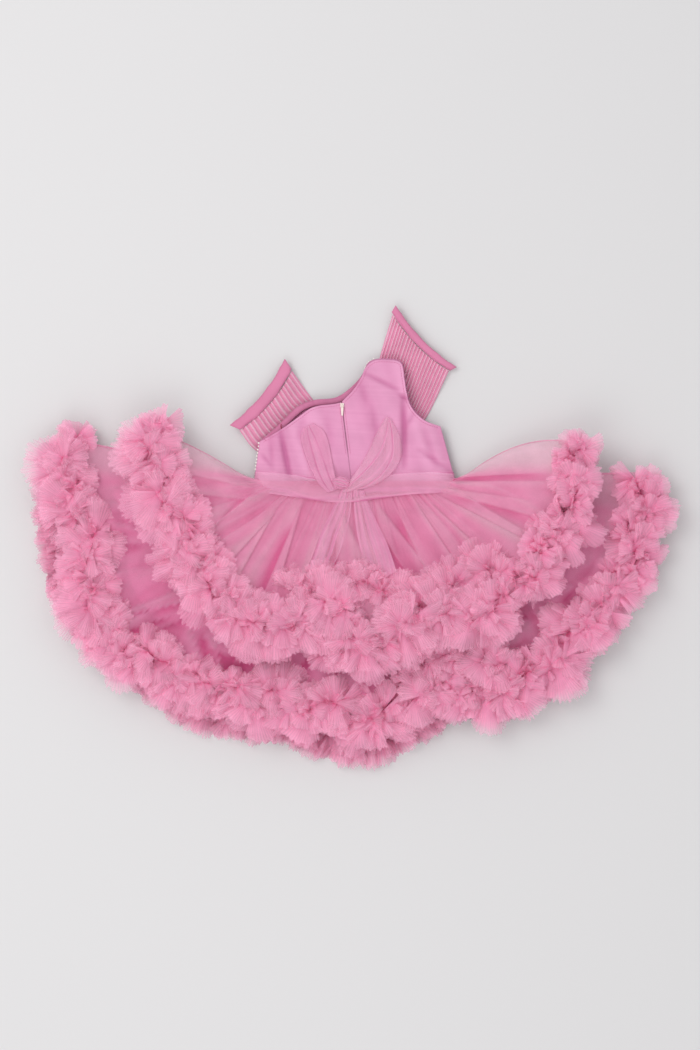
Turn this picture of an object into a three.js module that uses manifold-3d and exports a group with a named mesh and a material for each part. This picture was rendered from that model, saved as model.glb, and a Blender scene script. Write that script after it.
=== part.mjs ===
// A toddler's one-shoulder party dress, laid out flat on its front, with its back up.
// Millimetres, +Z up. The dress lies on z = 0. +Y runs from the hem to the shoulder, and +X to the strap's side.
// The bodice's front and back lie on each other. A pleated bow on the front reaches out past the bodice.
// Two tulle tiers and a lining spread like a fan from the waist. Each is a flattened tube of two panels, open
// at its hem, and each tier has a gathered ruffle round its hem. A tulle sash is tied in a bow over the zip.
import * as THREE from "three";
import Module from "manifold-3d";
import { mergeVertices } from "three/addons/utils/BufferGeometryUtils.js";

const wasm = await Module();
wasm.setup();

// Driving sizes
const WALL = 1.2;
const FRILL_WALL = 2.0; // measured upright, so that steep waves stay over 1 mm
const SEAM_GAP = 0.3;
const WAIST_Y = 68;
const WAIST_LEFT = -130;
const WAIST_RIGHT = 144;
const LAYER_OUTSET = 2.2; // each outer skirt layer wraps the waist this much wider
const SKIRT_START_Y = 76; // the skirt's layers lap this far up over the bodice's lower edge
const FRONT_Z = 9; // underside of the bodice front
const BACK_Z = 18; // underside of the bodice back
const SIDE_SEAM_Z = 13.5;
const SEAM_ROLL = 24; // width over which the front and back part from each other at a seam
const BODICE_PUFF = 5;
const UNDERARM_LEFT = { x: -121.5, y: 129 };
const UNDERARM_RIGHT = { x: 122, y: 149.5 };
const SHOULDER_SEAM_Y = 242;
const RUFFLE_HALF_WIDTH = 38;
const HIDDEN_RUFFLE_HALF_WIDTH = 28;
const PLAN_SHIFT = { x: 3.5, y: -0.3 }; // puts the middle of the whole outline at the origin

// Small helpers
const clamp01 = (t) => Math.min(1, Math.max(0, t));
const lerp = (a, b, t) => a + (b - a) * t;
const smooth = (t) => clamp01(t) ** 2 * (3 - 2 * clamp01(t));
const range = (n) => Array.from({ length: n + 1 }, (_, i) => i / n);
const point = (x, y, z = 0) => new THREE.Vector3(x, y, z);
const lifted = (p, dz) => point(p.x, p.y, p.z + dz);

// Reads a table of [share, value] rows, with soft steps between the rows.
function fromTable(rows, share) {
  let k = 0;
  while (k < rows.length - 2 && share > rows[k + 1][0]) k++;
  const [a, b] = [rows[k], rows[k + 1]];
  return lerp(a[1], b[1], smooth((share - a[0]) / (b[0] - a[0])));
}

// A smooth curve in plan through [x, y] rows.
const planCurve = (rows) =>
  new THREE.CatmullRomCurve3(rows.map(([x, y]) => point(x, y)), false, "centripetal");

// One closed body between two skins of points, skin[row][column]. A tube's columns run round and join.
function solidBetween(outer, inner, isTube = false) {
  const rows = outer.length;
  const columns = outer[0].length;
  const positions = [];
  for (const skin of [outer, inner])
    for (const row of skin) for (const p of row) positions.push(p.x, p.y, p.z);
  const at = (skin, r, c) => (skin * rows + r) * columns + (c % columns);
  const triangles = [];
  const quad = (a, b, c, d) => triangles.push(a, b, c, a, c, d);
  const spans = isTube ? columns : columns - 1;
  const last = rows - 1;
  for (let c = 0; c < spans; c++) {
    for (let r = 0; r < last; r++) {
      quad(at(0, r, c), at(0, r, c + 1), at(0, r + 1, c + 1), at(0, r + 1, c));
      quad(at(1, r, c), at(1, r + 1, c), at(1, r + 1, c + 1), at(1, r, c + 1));
    }
    quad(at(0, 0, c), at(1, 0, c), at(1, 0, c + 1), at(0, 0, c + 1));
    quad(at(0, last, c + 1), at(1, last, c + 1), at(1, last, c), at(0, last, c));
  }
  if (!isTube)
    for (let r = 0; r < last; r++) {
      const e = columns - 1;
      quad(at(0, r, 0), at(0, r + 1, 0), at(1, r + 1, 0), at(1, r, 0));
      quad(at(0, r, e), at(1, r, e), at(1, r + 1, e), at(0, r + 1, e));
    }
  const geometry = new THREE.BufferGeometry();
  geometry.setAttribute("position", new THREE.Float32BufferAttribute(positions, 3));
  if (signedVolume(positions, triangles) < 0) triangles.reverse();
  geometry.setIndex(triangles);
  return geometry;
}

function signedVolume(positions, triangles) {
  const corner = (i) => new THREE.Vector3().fromArray(positions, 3 * triangles[i]);
  let sum = 0;
  for (let i = 0; i < triangles.length; i += 3)
    sum += corner(i).dot(corner(i + 1).cross(corner(i + 2)));
  return sum;
}

// A sheet of cloth whose underside is under[row][column], with its thickness measured upright.
const sheet = (under, thickness = WALL) =>
  solidBetween(under.map((row) => row.map((p) => lifted(p, thickness))), under);

// The skins of a flattened tube: top(u, v) and bottom(u, v) are its outside, and meet in folds at u = 0 and 1.
function tubeSkins({ top, bottom, us, bottomUs = us, vs, wall = WALL }) {
  const outer = vs.map((v) => [
    ...us.map((u) => top(u, v)),
    ...bottomUs.slice(1, -1).reverse().map((u) => bottom(u, v)),
  ]);
  const round = outer[0].length;
  const normalAt = (r, c) => {
    const along = outer[r][(c + 1) % round].clone().sub(outer[r][(c + round - 1) % round]);
    const down = outer[Math.min(r + 1, vs.length - 1)][c].clone().sub(outer[Math.max(r - 1, 0)][c]);
    return along.cross(down).normalize();
  };
  const sign = normalAt(0, Math.floor(us.length / 2)).z > 0 ? -1 : 1;
  const inner = outer.map((row, r) =>
    row.map((p, c) => p.clone().addScaledVector(normalAt(r, c), sign * wall)),
  );
  return { outer, inner };
}
const flatTube = (shape) => {
  const { outer, inner } = tubeSkins(shape);
  return solidBetween(outer, inner, true);
};

// The same tube as two panels, seamed along its side folds.
function tubePanels(shape) {
  const { outer, inner } = tubeSkins(shape);
  const last = shape.us.length - 1;
  const panel = (skin, isBack) =>
    skin.map((row) => {
      const side = isBack ? row.slice(0, last + 1) : [...row.slice(last), row[0]];
      const atSeam = (c) => c === 0 || c === side.length - 1;
      return side.map((p, c) => lifted(p, atSeam(c) ? (isBack ? SEAM_GAP : -SEAM_GAP) / 2 : 0));
    });
  return {
    back: solidBetween(panel(outer, true), panel(inner, true)),
    front: solidBetween(panel(outer, false), panel(inner, false)),
  };
}

// Colours and finishes
const cloth = (hex, roughness) => new THREE.MeshStandardMaterial({ color: hex, roughness, metalness: 0 });
const SATIN = cloth("#e695bf", 0.5);
const TULLE = cloth("#e07fae", 0.85);
const RUFFLE = cloth("#ea93bb", 0.9);
const ORGANZA = cloth("#dd86ad", 0.55);
const TAPE_WEAVE = cloth("#c4668f", 0.8);
const ENAMEL = cloth("#f0dcd8", 0.35);

const dress = new THREE.Group();
dress.position.set(PLAN_SHIFT.x, PLAN_SHIFT.y, 0);
function add(name, geometry, material) {
  const mesh = new THREE.Mesh(geometry, material);
  mesh.name = name;
  dress.add(mesh);
}

// Bodice: [x, y] along its upper edges, from the bare shoulder's side to the strap's underarm.
const BACK_LEFT_TOP = [
  [UNDERARM_LEFT.x, UNDERARM_LEFT.y], [-95, 144], [-70, 161.5], [-50, 175], [-19, 180], [-12, 182],
];
const BACK_RIGHT_TOP = [
  [-10.5, 182.5], [4, 198], [15, 215], [21, 229], [32, 238], [48, 239.5], [68, 235.5],
  [72.5, 216], [77, 189], [84, 173], [100, 157.5], [UNDERARM_RIGHT.x, UNDERARM_RIGHT.y],
];
const FRONT_TOP = [
  [-122, 129], [-96, 152], [-70, 177], [-50, 185], [-19, 189], [-1.5, 200], [15, 217.5],
  [24, 235], [33, 239.8], [48, 241], [69, 237], [74, 216], [79, 189], [87, 173], [101, 158],
  [UNDERARM_RIGHT.x, UNDERARM_RIGHT.y],
];
const ZIP_TOP = point(-11.2, 182);
const ZIP_FOOT = point(3, WAIST_Y);
const ZIP_SLIT = 1.4;
const WIDE_CREASE = 0.7; // share of a half turn over which a crease deepens and fades

// Shallow creases of the laid bodice back: a line from (x, y) to (toX, toY), its half width and its depth.
const CREASES = [
  { x: -92, y: 118, toX: -78, toY: 78, width: 7, depth: 1.6 },
  { x: -68, y: 150, toX: -40, toY: 84, width: 8, depth: 1.3 },
  { x: 78, y: 190, toX: 80, toY: 110, width: 8, depth: 2.0 },
  { x: 22, y: 214, toX: 66, toY: 192, width: 6, depth: 1.2 },
  { x: -108, y: 120, toX: -104, toY: 92, width: 5, depth: 1.0 },
];

const creaseFade = (t) => Math.sin(Math.PI * lerp((1 - WIDE_CREASE) / 2, (1 + WIDE_CREASE) / 2, t));
function creaseDepth(x, y) {
  return CREASES.reduce((sum, c) => {
    const [dx, dy] = [c.toX - c.x, c.toY - c.y];
    const t = clamp01(((x - c.x) * dx + (y - c.y) * dy) / (dx * dx + dy * dy));
    const away = Math.hypot(x - c.x - t * dx, y - c.y - t * dy);
    return sum + c.depth * Math.exp(-((away / c.width) ** 2)) * creaseFade(t);
  }, 0);
}

// 0 on the side seams and the shoulder seam, 1 where the panels lie apart.
function apartShare(x, y) {
  const upTo = (underarm) => (y - WAIST_Y) / (underarm.y - WAIST_Y);
  const fromLeft = x - lerp(WAIST_LEFT, UNDERARM_LEFT.x, upTo(UNDERARM_LEFT));
  const fromRight = lerp(WAIST_RIGHT, UNDERARM_RIGHT.x, upTo(UNDERARM_RIGHT)) - x;
  const aboveUnderarm = smooth((y - UNDERARM_RIGHT.y) / (SEAM_ROLL / 2));
  const side = Math.min(fromLeft, lerp(fromRight, SEAM_ROLL, aboveUnderarm));
  return Math.min(smooth(side / SEAM_ROLL), smooth((SHOULDER_SEAM_Y - y) / SEAM_ROLL));
}
const arch = (t) => Math.sin(Math.PI * clamp01(t));
const PUFF_LENGTH = 180;
const puff = (x, y) =>
  BODICE_PUFF *
  arch((x - WAIST_LEFT) / (WAIST_RIGHT - WAIST_LEFT)) *
  arch((y - SKIRT_START_Y) / PUFF_LENGTH);
const backZ = (x, y) =>
  lerp(SIDE_SEAM_Z + SEAM_GAP / 2, BACK_Z + puff(x, y) - creaseDepth(x, y), apartShare(x, y));
const frontZ = (x, y) => lerp(SIDE_SEAM_Z - SEAM_GAP / 2 - WALL, FRONT_Z, apartShare(x, y));

// A bodice panel hangs from its upper edge to the waist, in straight lines.
function panelSurface(topCurve, waistFromX, waistToX, height) {
  return (u, v) => {
    const p = topCurve.getPointAt(u).lerp(point(lerp(waistFromX, waistToX, u), WAIST_Y), v);
    return p.setZ(height(p.x, p.y));
  };
}
const gridOf = (surface, us, vs) => vs.map((v) => us.map((u) => surface(u, v)));

const frontCurve = planCurve(FRONT_TOP);
const frontPanel = panelSurface(frontCurve, WAIST_LEFT, WAIST_RIGHT, frontZ);
const FRONT_US = range(20);
const FRONT_VS = [0, 0.08, 0.2, 0.45, 0.75, 1];
add("bodice_front", sheet(gridOf(frontPanel, FRONT_US, FRONT_VS)), SATIN);

const backLeft = panelSurface(planCurve(BACK_LEFT_TOP), WAIST_LEFT, ZIP_FOOT.x - ZIP_SLIT / 2, backZ);
add("bodice_back_left", sheet(gridOf(backLeft, range(10), range(6))), SATIN);
const backRight = panelSurface(planCurve(BACK_RIGHT_TOP), ZIP_FOOT.x + ZIP_SLIT / 2, WAIST_RIGHT, backZ);
add("bodice_back_right", sheet(gridOf(backRight, range(16), range(7))), SATIN);

// Reads a surface as its facets lie, so that what is laid on them stays clear.
function facetReader(surface, us, vs) {
  const place = (list, t) => {
    let k = 0;
    while (k < list.length - 2 && t > list[k + 1]) k++;
    return [k, (t - list[k]) / (list[k + 1] - list[k])];
  };
  return (u, v) => {
    const [i, s] = place(us, u);
    const [j, t] = place(vs, v);
    const near = surface(us[i], vs[j]).lerp(surface(us[i + 1], vs[j]), s);
    const far = surface(us[i], vs[j + 1]).lerp(surface(us[i + 1], vs[j + 1]), s);
    return near.lerp(far, t);
  };
}

// Binding on the inside of the front's neckline, between these shares of the front's upper edge
const BINDING = { width: 10, thickness: 2, from: 0.08, to: 0.52, clearance: SEAM_GAP + 0.1, steepest: 0.5 };
const onFront = facetReader(frontPanel, FRONT_US, FRONT_VS);
const bindingShares = FRONT_US.filter((u) => u > BINDING.from && u < BINDING.to);
const bindingGrid = [0, 1].map((across) =>
  bindingShares.map((u) => {
    const down = point(lerp(WAIST_LEFT, WAIST_RIGHT, u), WAIST_Y).sub(frontCurve.getPointAt(u));
    const slant = Math.sin(down.angleTo(frontCurve.getTangentAt(u)));
    const p = onFront(u, (across * BINDING.width) / (down.length() * Math.max(slant, BINDING.steepest)));
    return lifted(p, WALL + BINDING.clearance);
  }),
);
add("neckline_binding", sheet(bindingGrid, BINDING.thickness), ORGANZA);

// Zip: its tape lies under the slit between the back panels. The slider stands on the panels, at the top.
const TAPE = { halfWidth: 7, topY: ZIP_TOP.y - 2, footY: 82, clearance: SEAM_GAP + 0.1 };
const zipAt = (y) => lerp(ZIP_FOOT.x, ZIP_TOP.x, (y - WAIST_Y) / (ZIP_TOP.y - WAIST_Y));
const tapeGrid = range(8).map((s) =>
  range(2).map((u) => {
    const y = lerp(TAPE.topY, TAPE.footY, s);
    const x = zipAt(y) + lerp(-TAPE.halfWidth, TAPE.halfWidth, u);
    return point(x, y, backZ(x, y) - WALL - TAPE.clearance);
  }),
);
add("zip_tape", sheet(tapeGrid), TAPE_WEAVE);

const SLIDER = { width: 5, tailWidth: 2.94, length: 8, thickness: 1.4, y: 176.5 };
const BAR = { radius: 0.5, clearance: 0.35, eyeWall: 0.8, eyeWidth: 1.8, lugThickness: 0.7, lugLength: 2.4 };
const eyeBore = BAR.radius + BAR.clearance;
const eyeRadius = eyeBore + BAR.eyeWall;
const sliderX = zipAt(SLIDER.y);
const sliderZ = backZ(sliderX, SLIDER.y) + WALL + SEAM_GAP;
const barZ = sliderZ + SLIDER.thickness + eyeRadius + SEAM_GAP;
const PULL = {
  length: 13, headWidth: 3.4, tipWidth: 2.2, thickness: 0.9, shoulder: 1.6, tipRound: 1, tilt: 0.16,
};

function toManifold(geometry) {
  const g = geometry.index ? geometry.toNonIndexed() : geometry.clone();
  g.deleteAttribute("normal");
  g.deleteAttribute("uv");
  const merged = mergeVertices(g, 1e-4);
  return new wasm.Manifold(
    new wasm.Mesh({
      numProp: 3,
      vertProperties: new Float32Array(merged.attributes.position.array),
      triVerts: new Uint32Array(merged.index.array),
    }),
  );
}
function toGeometry(solid) {
  const mesh = solid.getMesh();
  const geometry = new THREE.BufferGeometry();
  geometry.setAttribute("position", new THREE.Float32BufferAttribute(mesh.vertProperties, 3));
  geometry.setIndex(Array.from(mesh.triVerts));
  return geometry;
}
const joined = (geometries) => toGeometry(geometries.map(toManifold).reduce((a, b) => a.add(b)));

// The slider: a tapered plate with two lugs that hold the bar of the pull tab.
function sliderGeometry() {
  const outline = new THREE.Shape([
    new THREE.Vector2(-SLIDER.width / 2, SLIDER.length / 2),
    new THREE.Vector2(-SLIDER.width / 2, 0),
    new THREE.Vector2(-SLIDER.tailWidth / 2, -SLIDER.length / 2),
    new THREE.Vector2(SLIDER.tailWidth / 2, -SLIDER.length / 2),
    new THREE.Vector2(SLIDER.width / 2, 0),
    new THREE.Vector2(SLIDER.width / 2, SLIDER.length / 2),
  ]);
  const plate = new THREE.ExtrudeGeometry(outline, { depth: SLIDER.thickness, bevelEnabled: false });
  plate.translate(sliderX, SLIDER.y, sliderZ);
  const lugX = BAR.eyeWidth / 2 + SEAM_GAP + BAR.lugThickness / 2;
  const lugHeight = barZ + BAR.radius - sliderZ;
  const lugs = [-1, 1].map((side) =>
    new THREE.BoxGeometry(BAR.lugThickness, BAR.lugLength, lugHeight).translate(
      sliderX + side * lugX, SLIDER.y, sliderZ + lugHeight / 2,
    ),
  );
  const bar = new THREE.CylinderGeometry(BAR.radius, BAR.radius, 2 * lugX, 12)
    .rotateZ(Math.PI / 2)
    .translate(sliderX, SLIDER.y, barZ);
  return joined([plate, ...lugs, bar]);
}
add("zip_slider", sliderGeometry(), ENAMEL);

// The pull tab: an eye round the bar and a tapered tab that lies down the zip.
function pullGeometry() {
  const ring = new THREE.Shape().absarc(0, 0, eyeRadius, 0, 2 * Math.PI);
  ring.holes.push(new THREE.Path().absarc(0, 0, eyeBore, 0, 2 * Math.PI, true));
  const eye = new THREE.ExtrudeGeometry(ring, { depth: BAR.eyeWidth, bevelEnabled: false, curveSegments: 16 })
    .translate(0, 0, -BAR.eyeWidth / 2)
    .rotateY(Math.PI / 2);
  const start = eyeBore + BAR.eyeWall / 2;
  const tab = new THREE.Shape([
    new THREE.Vector2(-BAR.eyeWidth / 2, -start),
    new THREE.Vector2(-PULL.headWidth / 2, -start - PULL.shoulder),
    new THREE.Vector2(-PULL.tipWidth / 2, -PULL.length + PULL.tipRound),
    new THREE.Vector2(-PULL.tipWidth / 4, -PULL.length),
    new THREE.Vector2(PULL.tipWidth / 4, -PULL.length),
    new THREE.Vector2(PULL.tipWidth / 2, -PULL.length + PULL.tipRound),
    new THREE.Vector2(PULL.headWidth / 2, -start - PULL.shoulder),
    new THREE.Vector2(BAR.eyeWidth / 2, -start),
  ]);
  const plate = new THREE.ExtrudeGeometry(tab, { depth: PULL.thickness, bevelEnabled: false }).translate(
    0, 0, -PULL.thickness / 2,
  );
  return joined([eye, plate]).rotateX(PULL.tilt).translate(sliderX, SLIDER.y, barZ);
}
add("zip_pull", pullGeometry(), ENAMEL);

// The bow's wings: pleated fans. sideA and sideB run from the bound edge to the bow's middle, hollow bends that
// edge in, and corners are the far corners of its binding.
const WINGS = {
  right: {
    sideA: [[57.4, 300.4], [39.2, 239], [23, 165], [17.3, 130]],
    sideB: [[133.4, 224.8], [99.9, 157.3], [62, 116], [24.3, 100]],
    pleats: 16, hollow: 7, cornerLift: [7, 5],
    corners: [[61.8, 313.9], [143.5, 231.1]],
  },
  left: {
    sideA: [[-78.3, 224.8], [-50.1, 186.3], [-16, 146], [-1.3, 130]],
    sideB: [[-148.6, 143.8], [-126.2, 116.9], [-62, 98], [-6.3, 100]],
    pleats: 13, hollow: 7, cornerLift: [6, 14],
    corners: [[-89.4, 241.2], [-158.8, 153.9]],
  },
};
const PLEAT_ROWS = [0, 0.12, 0.3, 0.6, 1];
const PLEAT_DEPTH = 2.6;
const PLEAT_FADE = 0.75; // share of its depth that a pleat has lost at the bow's middle
const WING_LIFT_SHARE = 0.3; // share of a wing's length over which its edge is lifted
const EDGE_COLUMNS = 12;
const EDGE_SEAM_SHARE = 0.02;

function wingParts({ sideA, sideB, pleats, hollow, cornerLift, corners }) {
  const [curveA, curveB] = [planCurve(sideA), planCurve(sideB)];
  const [cornerA, cornerB] = corners.map(([x, y]) => point(x, y));
  const middle = curveA.points.at(-1).clone().add(curveB.points.at(-1));
  const outward = cornerA.clone().add(cornerB).sub(middle).normalize();
  const base = (u, v) => lerp(cornerLift[0], cornerLift[1], u) * smooth(1 - v / WING_LIFT_SHARE);
  const place = (u, v) => {
    const p = curveA.getPointAt(v).lerp(curveB.getPointAt(v), u);
    const bend = hollow * 4 * u * (1 - u) * (1 - v) ** 2;
    return p.addScaledVector(outward, -bend).setZ(base(u, v));
  };
  const columns = 2 * pleats;
  const grid = PLEAT_ROWS.map((v) =>
    range(columns).map((u, c) => lifted(place(u, v), c % 2 ? PLEAT_DEPTH * (1 - PLEAT_FADE * v) : 0)),
  );
  const rim = (v) =>
    range(EDGE_COLUMNS).map((u) => {
      const inner = place(u, 0);
      const tip = cornerA.clone().lerp(cornerB, u).setZ(inner.z);
      const bent = tip.addScaledVector(outward, -hollow * 4 * u * (1 - u));
      const start = inner.clone().lerp(bent, SEAM_GAP / inner.distanceTo(bent) + EDGE_SEAM_SHARE);
      return start.lerp(bent, v);
    });
  return { pleated: sheet(grid), edge: sheet([rim(0), rim(1)], PLEAT_DEPTH + WALL) };
}
for (const [side, wing] of Object.entries(WINGS)) {
  const { pleated, edge } = wingParts(wing);
  add("bow_wing_" + side, pleated, ORGANZA);
  add("bow_edge_" + side, edge, ORGANZA);
}

// The bow's middle: a low pad between the wings, sewn to the bodice front above it. Its corners are in plan.
const BOW_CENTRE = {
  farLeft: point(-0.9, 130), farRight: point(16.7, 130),
  nearLeft: point(-5.9, 100), nearRight: point(23.7, 100),
  sideHeight: 4, height: FRONT_Z - SEAM_GAP,
};
const bowCentreAt = (u, v) => {
  const left = BOW_CENTRE.farLeft.clone().lerp(BOW_CENTRE.nearLeft, v);
  return left.lerp(BOW_CENTRE.farRight.clone().lerp(BOW_CENTRE.nearRight, v), u);
};
const bowCentreHeight = (u, v) => lerp(BOW_CENTRE.sideHeight, BOW_CENTRE.height, Math.sqrt(arch(u) * arch(v)));
const bowCentreUnder = gridOf(bowCentreAt, range(4), range(4));
const bowCentreTop = gridOf((u, v) => lifted(bowCentreAt(u, v), bowCentreHeight(u, v)), range(4), range(4));
add("bow_centre", solidBetween(bowCentreTop, bowCentreUnder), ORGANZA);

// Hems of the skirt, [x, y] along each ruffle's seam from the left fold to the right fold.
const UPPER_HEM = [
  [-274, 148], [-263, 110], [-248, 64], [-230, 20], [-210, -25], [-184, -70], [-148, -110], [-110, -132],
  [-74, -112], [-34, -98], [2, -122], [38, -140], [70, -118], [108, -96], [152, -104], [196, -92], [239, -47],
  [276, 2], [301, 52], [309, 92], [304, 128],
];
const LOWER_HEM_BACK = [
  [-382, 134], [-375, 84], [-360, 34], [-350, -14], [-352, -62], [-342, -107], [-312, -148], [-268, -168],
  [-224, -184], [-182, -204], [-128, -216], [-74, -222], [-20, -234], [28, -236], [68, -222], [108, -204],
  [151, -202], [196, -206], [243, -188], [286, -148], [325, -106], [357, -64], [378, -18], [386, 34],
  [384, 88],
];
const LOWER_HEM_FRONT = [
  [-382, 134], [-390, 86], [-394, 34], [-391, -14], [-380, -62], [-354, -108], [-312, -152], [-262, -194],
  [-206, -226], [-144, -243], [-82, -248], [-28, -268], [22, -276], [68, -260], [112, -228], [160, -210],
  [208, -214], [254, -192], [294, -150], [330, -106], [359, -62], [379, -16], [387, 36], [384, 88],
];

// Each layer of the skirt: how it spreads, and its heights as [share from waist to hem, z]. outset is in steps
// of LAYER_OUTSET, reach is its length as a share of the hem's rays, and bulge swings out its two side folds.
const LAYERS = {
  upper: {
    back: UPPER_HEM, front: UPPER_HEM, startY: 76, outset: 2, reach: 1, inFrom: 0, bulge: [7, 22],
    top: [[0, 22.9], [0.08, 23.3], [0.45, 47], [0.8, 60], [1, 60]],
    bottom: [[0, 6], [0.12, 0], [0.66, 0], [0.76, 2.3], [1, 2.3]],
    fold: [[0, 14], [0.3, 22], [1, 34]],
    folds: 9, foldDepth: 4.5,
  },
  lower: {
    back: LOWER_HEM_BACK, front: LOWER_HEM_FRONT, startY: 72, outset: 1, reach: 1, inFrom: 0, bulge: [4, 4],
    top: [[0, 21.2], [0.08, 21.4], [0.4, 32], [0.75, 36], [1, 31]],
    bottom: [[0, 7.5], [0.2, 6.8], [0.84, 6.8], [0.9, 2.3], [1, 2.3]],
    fold: [[0, 14], [0.5, 18], [1, 17]],
    folds: 10, foldDepth: 2.6,
  },
  lining: {
    back: LOWER_HEM_BACK, front: LOWER_HEM_BACK, startY: 67, outset: -1, reach: 0.8, inFrom: 0.035,
    bulge: [4, 4],
    top: [[0, 17.7], [0.12, 18], [0.5, 22.5], [1, 22.5]],
    bottom: [[0, 10.5], [1, 10.5]],
    fold: [[0, 14], [1, 16]],
    folds: 6, foldDepth: 1.2,
  },
};
const FOLD_ROLL = 0.08; // share of the width that a side fold takes
const BULGE_SHARE = 0.2; // share of the width that bends with a side fold
const UNEVEN_FOLDS = { shift: 0.013, turns: 6.1 * Math.PI, phase: 1.3 };
const UNEVEN_DEPTH = { least: 0.65, swing: 0.35, turns: 10.7, phase: 0.6 };
const unevenly = ({ turns, phase }, u) => Math.sin(turns * u + phase);

// The outside of one layer, as functions of u round the fan and v from waist to hem.
function layerSurface(layer) {
  const curves = { back: planCurve(layer.back), front: planCurve(layer.front) };
  const waist = (u) =>
    point(
      lerp(WAIST_LEFT - layer.outset * LAYER_OUTSET, WAIST_RIGHT + layer.outset * LAYER_OUTSET, u),
      layer.startY,
    );
  const plan = (side, u, v) => {
    const hem = curves[side].getPointAt(lerp(layer.inFrom, 1 - layer.inFrom, u));
    const p = waist(u).lerp(hem, v * layer.reach);
    const bulge = lerp(layer.bulge[0], layer.bulge[1], u) * (1 - smooth(Math.min(u, 1 - u) / BULGE_SHARE));
    return p.setY(p.y + 4 * v * (1 - v) * bulge);
  };
  const rounded = (u) => Math.sqrt(1 - (1 - clamp01(Math.min(u, 1 - u) / FOLD_ROLL)) ** 2);
  const wave = (u, v) => {
    const uneven = u + UNEVEN_FOLDS.shift * unevenly(UNEVEN_FOLDS, u);
    const varied = UNEVEN_DEPTH.least + UNEVEN_DEPTH.swing * unevenly(UNEVEN_DEPTH, u);
    return layer.foldDepth * varied * smooth(v * 1.3) * Math.sin(2 * Math.PI * layer.folds * uneven);
  };
  const height = (openZ, u, v) => lerp(fromTable(layer.fold, v), openZ, rounded(u));
  return {
    rayLength: (u) => waist(u).distanceTo(curves.back.getPointAt(u)),
    top: (u, v) => plan("back", u, v).setZ(height(fromTable(layer.top, v) + wave(u, v), u, v)),
    bottom: (u, v) => plan("front", u, v).setZ(height(fromTable(layer.bottom, v), u, v)),
  };
}
const SURFACES = {};
for (const [name, layer] of Object.entries(LAYERS)) SURFACES[name] = layerSurface(layer);

// Columns of a panel, fine at the side folds: the back has four to each fold of the cloth.
const END_SHARES = [0, 0.012, 0.035];
const MIDDLE_START = 0.065;
const panelColumns = (count) => [
  ...END_SHARES,
  ...range(count).map((t) => lerp(MIDDLE_START, 1 - MIDDLE_START, t)),
  ...END_SHARES.map((e) => 1 - e).reverse(),
];
const backColumns = (folds) => panelColumns(4 * folds);
const frontColumns = panelColumns(20);
const TIER_ROWS = [0, 0.1, 0.35, 0.72, 1];
const LINING_ROWS = [0, 0.4, 1];

function addPanels(name, layer, vs, material) {
  const us = backColumns(LAYERS[layer].folds);
  const { back, front } = tubePanels({ ...SURFACES[layer], us, bottomUs: frontColumns, vs });
  add(name + "_back", back, material);
  add(name + "_front", front, material);
}
addPanels("upper_tier", "upper", TIER_ROWS, TULLE);
addPanels("lower_tier", "lower", TIER_ROWS, TULLE);
addPanels("lining", "lining", LINING_ROWS, SATIN);

// A ruffle is gathered along its middle, where its two flanks meet at the seam on the tier.
// Each flank's rows are shares of its width, with the outer flank past the seam.
const FLANKS = { inner: [-1, -0.5, -0.004], outer: [0.004, 0.5, 1] };
const RUFFLES = {
  upper: { innerRise: 20, outerRise: 12, waveHeight: 8.5, lobes: 17 },
  lower: { innerRise: 11, outerRise: 6, waveHeight: 5.5, lobes: 23 },
};
const SEAM_INSET = 4; // the seam's distance from the tier's raw hem
const RUFFLE_CLEAR = 0.9;
const RISE_POWER = 1.3; // how a flank steepens from its seam to its edge
const LOBE_DRIFT = { amount: 1.1, turns: 9 };

// A ruffle's ends go on round the side folds: two more columns at each end, further out and narrower.
const END_REACH = 29;
const END_COLUMNS = [
  { past: 0.92 * END_REACH, narrow: 0.42 },
  { past: 0.55 * END_REACH, narrow: 0.84 },
];
function roundEnds(shares) {
  const at = (u, { past, narrow }) => ({ u, past, narrow });
  return [
    ...END_COLUMNS.map((end) => at(shares[0], end)),
    ...shares.map((u) => ({ u, past: 0, narrow: 1 })),
    ...END_COLUMNS.map((end) => at(shares.at(-1), end)).reverse(),
  ];
}

// Sideways out of the fan, at its left or right side
const sideways = (along, u) => (u < 0.5 ? point(along.y, -along.x) : point(-along.y, along.x));

function backRuffle(name, flank) {
  const { innerRise, outerRise, waveHeight, lobes } = RUFFLES[name];
  const surface = SURFACES[name];
  const tierUs = backColumns(LAYERS[name].folds);
  const onTier = facetReader(surface.top, tierUs, TIER_ROWS);
  const shares = tierUs.slice(1, -1).flatMap((u, i, list) => (i ? [(list[i - 1] + u) / 2, u] : [u]));
  const grid = FLANKS[flank].map((a) =>
    roundEnds(shares).map(({ u, past, narrow }, c) => {
      const lobe = Math.cos(2 * Math.PI * lobes * u + LOBE_DRIFT.amount * Math.sin(LOBE_DRIFT.turns * u));
      const crest = c % 2;
      const ray = surface.rayLength(u);
      const reach = RUFFLE_HALF_WIDTH * Math.abs(a) * narrow * (1 + 0.1 * lobe + 0.05 * crest);
      const along = surface.top(u, 1).sub(surface.top(u, 0.9)).setZ(0).normalize();
      const v = 1 + (Math.sign(a) * reach - SEAM_INSET) / ray;
      const p = onTier(u, Math.min(v, 1)).addScaledVector(along, Math.max(v - 1, 0) * ray);
      p.addScaledVector(sideways(along, u), past);
      const rise = (a < 0 ? innerRise : outerRise) * Math.abs(a) ** RISE_POWER * (1 + 0.25 * lobe);
      return lifted(p, RUFFLE_CLEAR + rise + crest * waveHeight * Math.abs(a) * (1 + 0.3 * lobe));
    }),
  );
  return sheet(grid, FRILL_WALL);
}
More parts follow.
